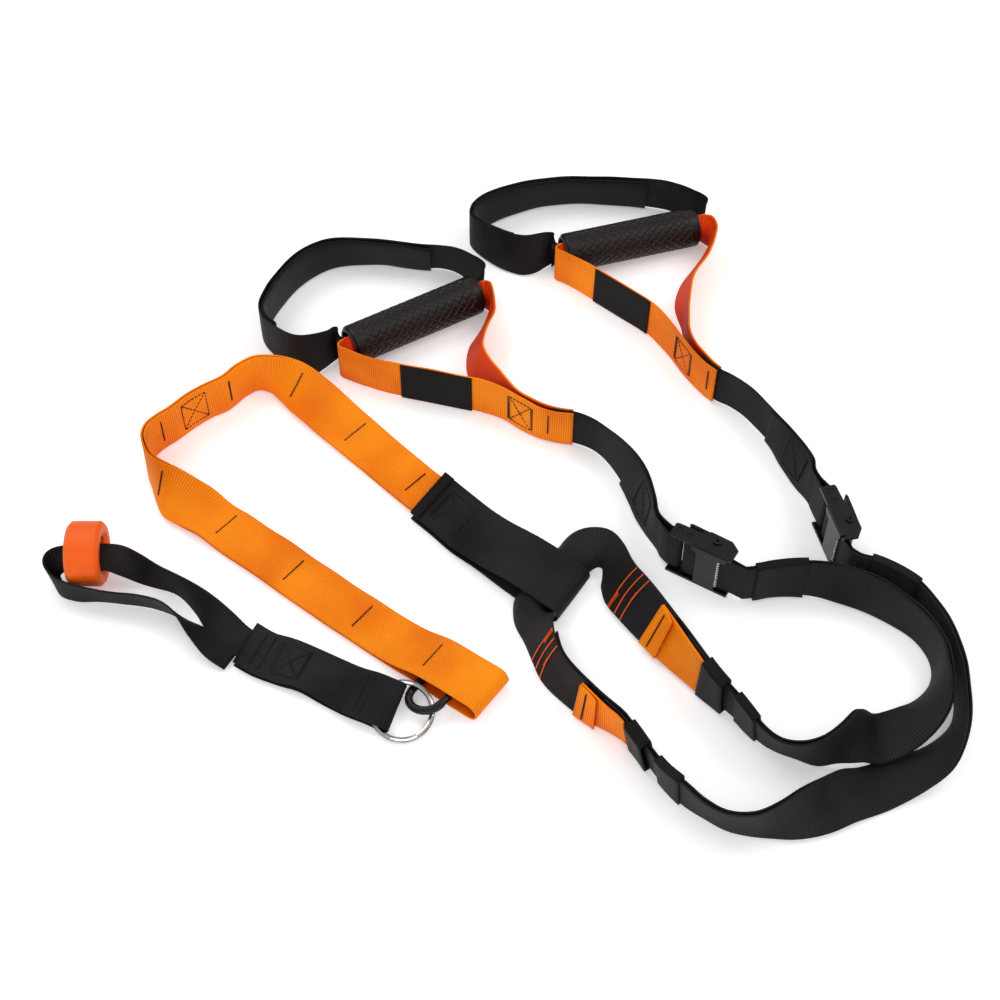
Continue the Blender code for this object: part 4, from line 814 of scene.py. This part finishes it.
def dress(node, finish):
    """Gives a solid that keeps its own shape a finish."""
    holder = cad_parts[node].data.materials
    holder.clear()
    holder.append(finish)


rubber = rubber_finish()
for side, (spot_x, spot_y, heading) in GRIP_PLACES.items():
    a = np.linspace(TUBE_LIP, GRIP_LENGTH - TUBE_LIP, SLEEVE_ROWS)[:, None]
    theta = np.linspace(0, 2 * math.pi, SLEEVE_COLUMNS, endpoint=False)[None, :]
    lead = round(2 * math.pi * GRIP_RADIUS / GROOVE_PITCH)
    first = a / GROOVE_PITCH + lead * theta / (2 * math.pi)
    second = a / GROOVE_PITCH - lead * theta / (2 * math.pi)
    u, v = first % 1 - 0.5, second % 1 - 0.5
    groove = np.maximum(np.exp(-((0.5 - np.abs(u)) / GROOVE_WIDTH) ** 2),
                        np.exp(-((0.5 - np.abs(v)) / GROOVE_WIDTH) ** 2))
    checker = (-1.0) ** (np.floor(first) + np.floor(second))
    tilt = DIAMOND_TILT * np.where(checker > 0, u, v)
    from_end = np.minimum(a, GRIP_LENGTH - a) - TUBE_LIP
    inside = np.clip((from_end - END_BAND) / BAND_EDGE, 0, 1)
    rim = np.clip(from_end / END_ROUND, 0, 1)
    radius = (GRIP_RADIUS - END_ROUND * (1 - np.sqrt(1 - (1 - rim) ** 2))
              - inside * GROOVE_DEPTH * (groove + tilt))
    inner = np.full_like(radius, BORE_RADIUS + TUBE_WALL + GAP)[::-1]
    along = np.broadcast_to(a, radius.shape)
    along = np.concatenate([along, along[::-1]])
    radius = np.concatenate([radius, inner])
    c, s = math.cos(math.radians(heading)), math.sin(math.radians(heading))
    base = np.append(laid((spot_x, spot_y)), GRIP_RADIUS)
    angle = np.broadcast_to(theta, radius.shape)
    grid = (base + along[..., None] * np.array([c, s, 0])
            + (radius * np.cos(angle))[..., None] * np.array([-s, c, 0])
            + (radius * np.sin(angle))[..., None] * np.array([0, 0, 1.0]))
    uv = np.stack([along, angle * GRIP_RADIUS], axis=-1)
    surface("%s_rubber_sleeve" % side, grid, uv, rubber,
            ["%s_grip_sleeve" % side], body="%s_grip" % side, loop=True)
tube_finish, tree, shader = fresh("black_abs_tube", 0.45)
mottled(tree, shader, "#070707", "#101010", 700.0)
for side in GRIP_PLACES:
    dress("%s_grip_tube" % side, tube_finish)


# Handle straps: orange webbing that runs up to the grip, through its tube and back, sewn to
# itself over the buckle strap's end with a boxed cross and a bar, and a cloth label in front.
HANDLE_STRAPS = {
    "left": (
        [
            (59, 56.8, 0.4, 90, 90), (46, 58.8, 0.4, 90, 90), (34, 62.8, 0.4, 90, 90),
            (18, 73, 0.4, 90, 88), (2, 85, 0.4, 90, 88), (-14, 92.5, 0.4, 90, 87),
            (-34, 98, 0.4, 90, 87), (-60, 105, 0.4, 90, 87), (-84, 111, 0.4, 90, 88),
            (-104, 117, 0.4, 90, 90), (-119, 123.5, 0.4, 90, 90), (-128, 128.3, 0.4, 90, 90),
            (-132.6, 131, 0.4, 90, 90), (-134.2, 133.6, 0.4, 90, 90),
            (-132, 135.6, 0.4, 90, 90, -20), (-127.5, 136.9, 0.4, 90, 90, -80),
        ],
        [
            (-11.4, 203.9, 0.4, 0, 90, -80), (-9.4, 202.9, 0.4, 0, 90, -30),
            (-8.0, 200, 0.4, 0, 88, -10), (-8, 194, 0.4, 0, 82), (-9.6, 186, 0.4, 0, 74),
            (-12, 176, 0.4, 0, 66), (-17.5, 163, 0.4, 0, 63), (-20.5, 147, 0.4, 8, 65),
            (-20, 132, 0.4, 20, 70), (-14, 118, 0.4, 28, 72), (-5, 105, 0.4, 34, 76),
            (4, 93, 0.4, 45, 82), (14, 82.5, 0.4, 60, 88), (24, 75, 0.4, 90, 90),
            (36, 67.4, 0.4, 90, 90), (47, 63.6, 0.4, 90, 90), (59, 61.4, 0.4, 90, 90),
        ],
    ),
    "right": (
        [
            (177, 103.5, 0.4, 50, 90), (171, 109.6, 0.4, 50, 90), (163, 120.5, 0.4, 50, 90),
            (155, 134, 0.4, 50, 90), (143, 158, 0.4, 50, 88), (128, 181, 0.4, 50, 88),
            (105, 202, 0.4, 50, 88), (81, 223, 0.4, 50, 88), (64, 236.5, 0.4, 90, 90),
            (54.5, 243.2, 0.4, 90, 90), (50.2, 245.8, 0.4, 90, 90), (48.8, 248, 0.4, 90, 90),
            (50.6, 249.6, 0.4, 90, 90, -20), (54.5, 250, 0.4, 90, 90, -80),
        ],
        [
            (182, 286.4, 0.4, 0, 90, -90), (185.5, 285.6, 0.4, 0, 90, -40),
            (187.6, 282.8, 0.4, 0, 88, -15), (187.4, 277, 0.4, 0, 80), (184, 268, 0.4, 0, 73),
            (179, 257, 0.4, 0, 66), (173, 246, 0.4, 0, 62), (166.5, 234, 0.4, 0, 63),
            (161.5, 222, 0.4, 5, 66), (159, 211, 0.4, 10, 70), (158.5, 200, 0.4, 15, 76),
            (158.8, 189, 0.4, 20, 82), (158.6, 178, 0.4, 25, 86), (158, 166, 0.4, 30, 88),
            (158, 155, 0.4, 40, 90), (159.6, 144.5, 0.4, 50, 90), (163.2, 134, 0.4, 50, 90),
            (169.4, 122.6, 0.4, 50, 90), (175.4, 113.8, 0.4, 50, 90), (181, 107.6, 0.4, 50, 90),
        ],
    ),
}
LABEL_SPANS = {"left": ((-80, 110), (-24, 95)), "right": ((83, 221), (127, 182))}
LABEL_THICKNESS = 0.0008
label_cloth = webbing_finish("black_label_cloth", "#151314", "#0B0A0B", 0.0012, 0.0012, 0.2)


def grip_pairs(shares, crown):
    """Rows inside a grip from shares of its length, on one side of its axis."""
    length = GRIP_LENGTH / ROUTE_UNIT
    return [(share * length, crown / ROUTE_UNIT) for share in shares]


# The side of a handle strap that faces into the loop gets its light only from the other leg,
# so that shade is painted: this side has a darker, redder copy of the orange webbing
shaded_side_web = webbing_finish("orange_nylon_webbing_painted_shade", "#F2500A", "#BE2603", WEB_RIB, 0.0021,
                           painted_shade="#A81402")
HANDLE_CELLS = 18
HANDLE_BOX = (0.021, 0.026)
HANDLE_TACK_WIDTH = 0.022
LABEL_MARGIN = 0.0015
JOINT_PLACES = {"left": ((18, 73), (40, 61)), "right": ((154, 135.5), (171, 109.6))}
handle_threads = []
for side in GRIP_PLACES:
    spot = GRIP_PLACES[side]
    through = local_rows(spot, grip_pairs(THROUGH_SHARES, -TROUGH_RADIUS), 90,
                         -math.degrees(WEB_WIDTH / TROUGH_RADIUS))
    front, rear = HANDLE_STRAPS[side]
    run = follow(front + through + rear, WEB_WIDTH, middle_height=GRIP_RADIUS)
    web = woven("%s_handle_webbing" % side, run, WEB_WIDTH, orange_web,
                ["%s_handle_strap" % side], cells=HANDLE_CELLS).data
    half = len(run) // 2
    label = between(run[:half], LABEL_SPANS[side])
    way = float(np.sign(-label[0, 7]))
    # Faces on the side into the loop take the painted-shade copy of the orange webbing
    web.materials.append(shaded_side_web)
    column = np.arange(len(web.polygons)) % (2 * (HANDLE_CELLS + 1 + EDGE_POINTS))
    start = 0 if way > 0 else HANDLE_CELLS + 1 + EDGE_POINTS
    inside = (column >= start) & (column < start + HANDLE_CELLS)
    inside[-2:] = False
    web.polygons.foreach_set("material_index", inside.astype(np.int32))
    out = way * (WEB_THICKNESS / 2 + GAP + LABEL_THICKNESS / 2)
    woven("%s_label_cloth" % side, shifted(label, out), WEB_WIDTH, label_cloth,
          ["%s_label" % side], LABEL_THICKNESS, ripple=0.0)
    lift = way * SURFACE
    box_spot, bar_spot = JOINT_PLACES[side]
    handle_threads += boxed_cross(run[:half], nearest(run[:half], box_spot), *HANDLE_BOX, lift,
                                  -HANDLE_BOX[0] / 2)
    handle_threads.append(tack(run[:half], nearest(run[:half], bar_spot), 0.002,
                               HANDLE_TACK_WIDTH, lift))
    edge = WEB_WIDTH / 2 - LABEL_MARGIN
    rim = WEB_THICKNESS / 2 + GAP + LABEL_THICKNESS + THREAD_RADIUS * 0.2
    for place in (LABEL_MARGIN, arc_length(label)[-1] - LABEL_MARGIN):
        handle_threads += seam(label, 0, [(place, -edge), (place, edge)], way * rim)
thread("handle_stitches", handle_threads, THREAD_RADIUS * 0.9, black_thread)


# Foot loops: black webbing from one end of the grip round to the other, with a soft pad of
# foam in smooth cloth sewn along its inside.
FOOT_STRAPS = {
    "left": [
        (-135.4, 158.2, 0.4, 60, 90, -120), (-139.4, 156.6, 0.4, 60, 90, -70),
        (-141.6, 152.4, 0.4, 60, 82, -30), (-146, 146, 0.4, 60, 68), (-156.5, 140.5, 0.4, 80, 66),
        (-171, 141.2, 0.4, 60, 80), (-184, 149, 0.4, 50, 86), (-192, 157, 0.4, 50, 88),
        (-200, 167, 0.4, 20, 90), (-203.5, 179, 0.4, 20, 90), (-199.5, 198, 0.4, 20, 90),
        (-192, 216, 0.4, -60, 90), (-181.5, 234, 0.4, -60, 90), (-167.5, 250, 0.4, -90, 88),
        (-151, 260, 0.4, -90, 84), (-135, 263.7, 0.4, -90, 80), (-117, 264, 0.4, -90, 77),
        (-100, 263, 0.4, -90, 75), (-85, 260.2, 0.4, -90, 76), (-68, 256.8, 0.4, -90, 76),
        (-51, 255.6, 0.4, -95, 76), (-41, 252.6, 0.4, -110, 79), (-32, 246.8, 0.4, -130, 83),
        (-24, 239.6, 0.4, -130, 87), (-17.8, 232.2, 0.4, -130, 90, -20),
        (-16.6, 228.2, 0.4, -130, 90, -50), (-18.4, 225.6, 0.4, -130, 90, -90),
    ],
    "right": [
        (48.8, 271.5, 0.4, 60, 90, -120), (44.5, 270.9, 0.4, 60, 90, -70),
        (41, 266.8, 0.4, 70, 84, -30), (34, 261.6, 0.4, 80, 72), (22, 258.8, 0.4, 80, 68),
        (8, 262, 0.4, 70, 74), (-6, 270, 0.4, 60, 80), (-18, 279, 0.4, 50, 86),
        (-26, 290, 0.4, 20, 90), (-25, 302, 0.4, 20, 90), (-18, 312, 0.4, -30, 90),
        (-4, 323, 0.4, -60, 88), (14, 332, 0.4, -80, 84), (36, 339.6, 0.4, -90, 80),
        (60, 343.4, 0.4, -90, 78), (86, 343.4, 0.4, -90, 78), (110, 341.4, 0.4, -90, 80),
        (134, 338.6, 0.4, -90, 82), (152, 334.4, 0.4, -100, 84), (165, 327.6, 0.4, -120, 87),
        (174, 320.2, 0.4, -130, 90), (179.6, 314.6, 0.4, -130, 90, -20),
        (181, 311.2, 0.4, -130, 90, -50), (179, 309.2, 0.4, -130, 90, -90),
    ],
}
PAD_SPANS = {"left": ((-190, 155), (-62, 256)), "right": ((10, 261), (132, 339))}
PAD_THICKNESS = 0.0030
PAD_WIDTH = 0.0360
padding = webbing_finish("black_pad_cloth", "#0C0A0A", "#060505", 0.0013, 0.0013, 0.25, 0.08)
for side in GRIP_PLACES:
    spot = GRIP_PLACES[side]
    curl = -math.degrees(WEB_WIDTH / NESTED_RADIUS)
    ways_in = local_rows(spot, grip_pairs(LEFT_END_SHARES, NESTED_RADIUS), 90, curl)
    ways_out = local_rows(spot, grip_pairs(RIGHT_END_SHARES, NESTED_RADIUS), 90, curl)
    run = follow(ways_in + FOOT_STRAPS[side] + ways_out, WEB_WIDTH, middle_height=GRIP_RADIUS)
    woven("%s_foot_webbing" % side, run, WEB_WIDTH, black_web,
          ["%s_foot_strap" % side], cells=HANDLE_CELLS)
    first, last = (nearest(run, spot) for spot in PAD_SPANS[side])
    pad_run = shifted(run[first:last + 1], WEB_THICKNESS / 2 + 3 * GAP + PAD_THICKNESS / 2)
    pad = woven("%s_foot_padding" % side, pad_run, PAD_WIDTH, padding,
                ["%s_foot_pad" % side], PAD_THICKNESS * 0.7, crown=PAD_THICKNESS * 0.25)


# Buckle straps: a short black webbing from the handle round the buckle's handle bar and back
# along itself, where a boxed cross in black thread holds it.
BUCKLE_STRAPS = {
    "left": [
        (41, 62.6, 0.4, 90, 90), (50, 60.8, 0.4, 90, 90), (60, 58.9, 0.4, 90, 90),
        (75, 51.5, 0.4, 80, 90), (88, 38.5, 0.4, 40, 88), (96.5, 27, 0.4, 25, 82),
        (102, 18, 0.4, 18, 77), (107, 7, 0.4, 18, 74), (110.5, -4, 0.6, 18, 73),
        (113.5, -16, 1.2, 20, 74), (117, -30, 2.8, 24, 80),
    ],
    "right": [
        (166, 121.3, 0.4, 45, 90), (173, 111.9, 0.4, 45, 90), (180, 105.2, 0.4, 45, 90),
        (190, 98.5, 0.4, 45, 90), (201, 88.5, 0.4, 35, 90), (214, 70, 0.4, 25, 90),
        (224, 53, 0.4, 20, 88), (231.5, 37, 0.4, 14, 81), (238, 23, 0.8, 10, 77),
        (243, 9, 2.2, 10, 80),
    ],
}
BAR_APPROACH = {
    "left": ([(-16.4, 15.9), (-8, 12.4), (-1, 10.7)], [(-1, 3.5), (-8, 6.6), (-17.5, 14.3)]),
    "right": ([(-20.9, 4.8), (-12, 6.2), (-4, 9.3)], [(-4, 3.1), (-12, 2.9), (-20.9, 2.9)]),
}
RETURN_LENGTH = 0.065
RETURN_BOX = (0.024, 0.026)
RETURN_BOX_PLACE = 0.016


cross_threads = []
for side in GRIP_PLACES:
    arrive, leave = BAR_APPROACH[side]
    bar_a, bar_b = HANDLE_BAR_PLACE
    radius = HANDLE_BAR_RADIUS + 2 * GAP + WEB_THICKNESS / 2
    arc = [((bar_a + radius * math.cos(angle)) / ROUTE_UNIT,
            (bar_b + radius * math.sin(angle)) / ROUTE_UNIT)
           for angle in np.linspace(math.pi / 2, -math.pi / 2, 9)]
    toward = BUCKLE_STRAPS[side][-1][3]
    rows = BUCKLE_STRAPS[side] + local_rows(BUCKLE_PLACES[side], arrive + arc, toward)
    out = follow(rows, WEB_WIDTH, middle_height=BUCKLE_WIDTH / 2)
    joint = nearest(out, local_rows(BUCKLE_PLACES[side], arrive[:1], 0)[0])
    lead = backward(shifted(out[:joint + 1], LAYER))
    lead = lead[:int(np.searchsorted(arc_length(lead), RETURN_LENGTH)) + 1]
    leave_run = follow(local_rows(BUCKLE_PLACES[side], arc[-1:] + leave[:-1], toward), WEB_WIDTH,
                       middle_height=BUCKLE_WIDTH / 2)
    strap = np.vstack([out, aligned(leave_run[1:], out[-1]), lead])
    woven("%s_buckle_webbing" % side, strap, WEB_WIDTH, black_web,
          ["%s_buckle_strap" % side])
    cross_threads += boxed_cross(lead, 0, *RETURN_BOX, SURFACE, RETURN_BOX_PLACE)
thread("buckle_strap_stitches", cross_threads, THREAD_RADIUS, shade_thread)


# Cam buckles: steel side plates and base, pressed and powder-coated black. The bars and
# the axle are rubbed glossier, and the teeth down to bare steel.
BASE_END = 0.0410
TOOTH_REACH = 0.0022


def coated_finish(name, low, high, roughness):
    """Powder-coated steel: satin black with a fine orange-peel, which gives soft highlights."""
    made, tree, shader = fresh(name, roughness, gloss=0.3)
    spot = mottled(tree, shader, low, high, 90.0, 4.0)
    rounded = add(tree, "ShaderNodeBevel", {"Radius": 0.0006})
    bumped(tree, shader, noise(tree, spot, 650.0), 0.15, 0.0002, {"Normal": rounded.outputs[0]})
    return made


def buckle_axes(side):
    """The corner of a buckle on the floor, and its directions along and in."""
    corner, along, inward = (laid(row) for row in local_rows(
        BUCKLE_PLACES[side], [(0, 0), (1, 0), (0, 1)], 0))
    return corner, unit(along - corner), unit(inward - corner)


coated = coated_finish("powder_coated_steel", "#070708", "#101012", 0.3)
rubbed = coated_finish("rubbed_black_steel", "#060606", "#121213", 0.2)
bare_edge, tree, shader = fresh("bare_steel_teeth", 0.25, metallic=1.0)
mottled(tree, shader, "#8E8E90", "#E8E8EA", 300.0)
for side in GRIP_PLACES:
    for name, finish in (("buckle_frame", coated), ("handle_bar", rubbed), ("turn_bar", rubbed),
                         ("cam_axle", rubbed), ("cam_lever", coated)):
        dress("%s_%s" % (side, name), finish)
    # The teeth stand out of the base's end, between the plates
    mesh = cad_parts["%s_buckle_frame" % side].data
    centres = np.array([face.center for face in mesh.polygons])
    corner, ahead = buckle_axes(side)[:2]
    away, height = (centres[:, :2] - corner) @ ahead, centres[:, 2]
    teeth = ((away > BASE_END) & (away < BASE_END + TOOTH_REACH)
             & (height > PLATE_THICKNESS) & (height < BUCKLE_WIDTH - PLATE_THICKNESS))
    mesh.materials.append(bare_edge)
    mesh.polygons.foreach_set("material_index", teeth.astype(np.int32))


# Plate flanges: the upper plate of each buckle has its front edge folded down over the base,
# 6 mm deep, to stiffen it. They are pressed from the plate and coated with it.
FLANGE_DROP = 0.0060
FLANGE_THICKNESS = 0.0014
FLANGE_REACH = 0.0030
FLANGE_SHARES = (0.36, 0.94)
FLANGE_ROWS = 33
FLANGE_BEND_POINTS = 5


def flange(side, start, end):
    """A folded edge: an angle section swept along the plate. The drop of its leg fades at both
    ends as the root of 1 - s^6, where s runs from -1 to 1."""
    corner, ahead, inward = buckle_axes(side)
    s = np.sin(np.linspace(-math.pi / 2, math.pi / 2, FLANGE_ROWS))
    drop = FLANGE_DROP * np.sqrt(np.clip(1 - np.abs(s) ** 6, 0, 1)) + FLANGE_THICKNESS / 4
    bend = np.linspace(math.pi / 2, math.pi, FLANGE_BEND_POINTS)
    b = np.concatenate([[FLANGE_REACH], -GAP + FLANGE_THICKNESS * np.cos(bend),
                        [-GAP - FLANGE_THICKNESS, -GAP, -GAP, FLANGE_REACH]])
    fixed = np.concatenate([[FLANGE_THICKNESS], FLANGE_THICKNESS * np.sin(bend),
                            [0, 0, GAP / 2, GAP / 2]])
    falls = np.array([0] * (1 + FLANGE_BEND_POINTS) + [1, 1, 0, 0])
    z = BUCKLE_WIDTH + fixed[None, :] - falls[None, :] * drop[:, None]
    a = start + (end - start) * (s + 1) / 2
    flat = corner + a[:, None, None] * ahead + b[None, :, None] * inward
    grid = np.concatenate([flat, z[..., None]], axis=-1)
    uv = np.stack(np.broadcast_arrays(a[:, None], b[None, :]), axis=-1)
    made = surface("%s_plate_flange" % side, grid, uv, coated)
    smoothed(made.data, False)


for side in GRIP_PLACES:
    flange(side, *(share * BUCKLE_LENGTH for share in FLANGE_SHARES))


# Cam springs and gate pin: bright plated steel wire and rod, drawn through a die, so they
# mirror what is round them and carry faint marks.
def plated_finish():
    """Nickel-plated steel: a mirror, whose colour is painted darker where it is seen from the
    side, a painted reflection of a dark surround, and varied by faint drawing marks.
    """
    made, tree, shader = fresh("nickel_plated_steel", 0.16, metallic=1.0)
    spot = add(tree, "ShaderNodeTexCoord").outputs["Object"]
    marks = noise(tree, spot, 160.0, 4.0)
    painted_reflection = add(tree, "ShaderNodeLayerWeight", {"Blend": 0.6}).outputs["Facing"]
    tone = maths(tree, "MULTIPLY_ADD", marks, 0.5, painted_reflection, clamp=True)
    # Painted reflection: the colour runs from bright to dark brown as the face turns side on
    mix = blend(tree, tone, linear("#DAD6D0"), linear("#2A2420"))
    tree.links.new(mix, shader.inputs["Base Color"])
    rough = maths(tree, "MULTIPLY_ADD", marks, 0.18, 0.08)
    tree.links.new(rough, shader.inputs["Roughness"])
    return made


plated = plated_finish()
for name in ("left_cam_spring", "right_cam_spring", "gate_pin"):
    dress(name, plated)


# Carabiner: forged steel oval, black coated, with its round gate on a pin. Use rubs its coat,
# so it is glossier than the buckles.
for name in ("carabiner_body", "carabiner_gate"):
    dress(name, rubbed)


# Ring: 4 mm plated wire bent round and welded, which joins the carabiner to the door strap.
# Its facets are shaded smooth, as drawn wire has none.
dress("anchor_ring", plated)
smoothed(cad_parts["anchor_ring"].data)


# Door strap: black webbing folded round the ring, with the two ends of a narrow webbing sewn
# between its layers. That one passes through the foam spool that stops behind a door.
DOOR = [
    (-190, -140, 3.4, 66, 0), (-176, -149, 3.4, 66, 0), (-160, -156, 3.4, 70, 4),
    (-140, -164, 3.0, 66, -4), (-120, -175, 3.0, 66, 2), (-106, -184, 4.4, 67, 7),
    (-92, -191, 5.4, 69, 11.6), (-78.4, -196.8, 3.8, 69, 11.6),
]
RING_WIRE_RADIUS = 0.0020
DOOR_FOLD_RADIUS = RING_WIRE_RADIUS + 3 * GAP + WEB_THICKNESS / 2
DOOR_FLAT_OPEN = 0.016
DOOR_OPEN_LENGTH = 0.044
DOOR_LOOP_WIDTH = 0.025
DOOR_STRANDS = [
    (-178, -146, 3.4, 62, 0), (-194, -137, 3.0, 60, 2), (-210, -124, 2.0, 50, 30),
    (-228, -106, 0.8, 50, 66), (-246, -92, 0.4, 70, 84), (-262, -84, 0.4, 84, 74),
    (-275, -77, 2.4, 96, 52), (-288, -72, 10.0, 94, 22), (-300, -71.3, 19.6, 90, 0),
    (-314, -71.3, 19.8, 90, 0), (-329, -71.3, 19.4, 90, 0), (-336, -72, 12.0, 92, 16),
    (-341, -76, 5.0, 130, 48), (-342.5, -83, 1.2, 180, 76), (-337, -92.5, 0.4, 226, 88),
    (-323, -99.5, 0.4, 262, 86),
    (-306, -102, 0.4, 268, 78), (-288, -104.5, 0.4, 262, 74), (-270, -107, 0.4, 256, 76),
    (-254, -112, 0.4, 246, 76), (-240, -121, 0.6, 240, 66), (-226, -133, 1.2, 240, 40),
    (-212, -144, 2.0, 240, 14), (-198, -151, 2.2, 240, 0),
]
DOOR_BARS = (0.012, 0.020, 0.1020, 0.1075)
DOOR_BAR_WIDTH = 0.030
DOOR_BOX = (0.020, 0.026)
DOOR_BOX_PLACE = 0.030
run = follow(DOOR, WEB_WIDTH)
gaps = opened(run, LAYER, DOOR_FOLD_RADIUS, DOOR_FLAT_OPEN, DOOR_OPEN_LENGTH)
woven("door_webbing", folded(run, gaps), WEB_WIDTH, black_web, ["door_strap"])
top = shifted(run, gaps)
runs = [tack(top, 0, 0, DOOR_BAR_WIDTH, SURFACE, place) for place in DOOR_BARS]
runs += boxed_cross(top, 0, *DOOR_BOX, SURFACE, DOOR_BOX_PLACE)
thread("door_strap_stitches", runs, THREAD_RADIUS, shade_thread)
run = follow(DOOR_STRANDS, DOOR_LOOP_WIDTH)
woven("door_loop_webbing", run, DOOR_LOOP_WIDTH, black_web, ["door_loop"])


# Spool: a short roller of orange closed-cell foam, cut from rod, with a soft skin. Cut foam
# is matt, and its cells show as a fine grain.
foam, tree, shader = fresh("orange_eva_foam", 0.5, gloss=0.3)
spot = mottled(tree, shader, "#EE5400", "#F46604", 45.0)
cells = add(tree, "ShaderNodeTexVoronoi", {"Vector": spot, "Scale": 900.0})
bumped(tree, shader, cells.outputs[0], 0.2, 0.0003)
dress("door_spool", foam)


# Floor, light and camera: a white table under soft lamps, seen from 52 degrees above it
# through a 63 mm lens. The camera sees a white sky, and the things mirror a softer one.
FLOOR_SIZE = 4.0
FLOOR_GLOW = 0.24
FAR_GLOW = 0.5
SKY_STRENGTH = 0.72
LENS_LENGTH = 63
SENSOR_WIDTH = 36
CAMERA_DISTANCE = 0.8599
CAMERA_HEIGHT = 1.1006
CAMERA_ABOVE = 52
GLOW_START = 0.6
GLOW_END = 1.7
half = FLOOR_SIZE / 2
mesh = bpy.data.meshes.new("floor")
mesh.from_pydata([(-half, -half, 0), (half, -half, 0), (half, half, 0), (-half, half, 0)], [],
                 [(0, 1, 2, 3)])
floor = shown("floor", mesh)
table_top, tree, shader = fresh("white_table_top", 0.9)
spot = mottled(tree, shader, "#FDFDFD", "#FFFFFF", 2.0)
shader.inputs["Emission Color"].default_value = (1, 1, 1, 1)
# The lamps fade with distance, so the table glows more, the farther it is from the middle
away = add(tree, "ShaderNodeVectorMath", {0: spot}, operation="LENGTH")
glow = add(tree, "ShaderNodeMapRange", {"Value": away.outputs["Value"], "From Min": GLOW_START,
                                        "From Max": GLOW_END, "To Min": FLOOR_GLOW,
                                        "To Max": FAR_GLOW})
tree.links.new(glow.outputs[0], shader.inputs["Emission Strength"])
mesh.materials.append(table_top)

world = bpy.data.worlds.new("studio")
bpy.context.scene.world = world
world.use_nodes = True
tree = world.node_tree
sky = tree.nodes["Background"]
sky.inputs["Strength"].default_value = SKY_STRENGTH
way = add(tree, "ShaderNodeTexCoord")
height = add(tree, "ShaderNodeSeparateXYZ", {0: way.outputs["Generated"]})
tone = maths(tree, "MULTIPLY_ADD", height.outputs[2], 0.5, 0.5, clamp=True)
tree.links.new(tone, sky.inputs["Color"])
white = add(tree, "ShaderNodeBackground")
white.inputs["Color"].default_value = (1, 1, 1, 1)
ray = add(tree, "ShaderNodeLightPath")
seen = add(tree, "ShaderNodeMixShader", {0: ray.outputs["Is Camera Ray"], 1: sky.outputs[0],
                                         2: white.outputs[0]})
tree.links.new(seen.outputs[0], tree.nodes["World Output"].inputs[0])
LAMPS = [((-0.9, 0.8, 1.6), 1.2, 10.0), ((1.1, 0.3, 1.5), 1.0, 7.0), ((0.1, -1.5, 1.1), 1.4, 9.0)]
for number, (where, size, power) in enumerate(LAMPS):
    light = bpy.data.lights.new("lamp_%d" % number, "AREA")
    light.shape = "DISK"
    light.size = size
    light.energy = power
    lamp = shown("lamp_%d" % number, light)
    lamp.location = where
    across, up = math.atan2(where[1], where[0]), math.hypot(where[0], where[1])
    lamp.rotation_euler = (0, math.atan2(up, where[2]), across)

lens = bpy.data.cameras.new("camera")
lens.lens = LENS_LENGTH
lens.sensor_width = SENSOR_WIDTH
camera = shown("camera", lens)
camera.location = (-LAYOUT_MIDDLE_X, -CAMERA_DISTANCE - LAYOUT_MIDDLE_Y, CAMERA_HEIGHT)
camera.rotation_euler = (math.radians(90 - CAMERA_ABOVE), 0, 0)
bpy.context.scene.camera = camera
bpy.context.scene.view_settings.view_transform = "Standard"
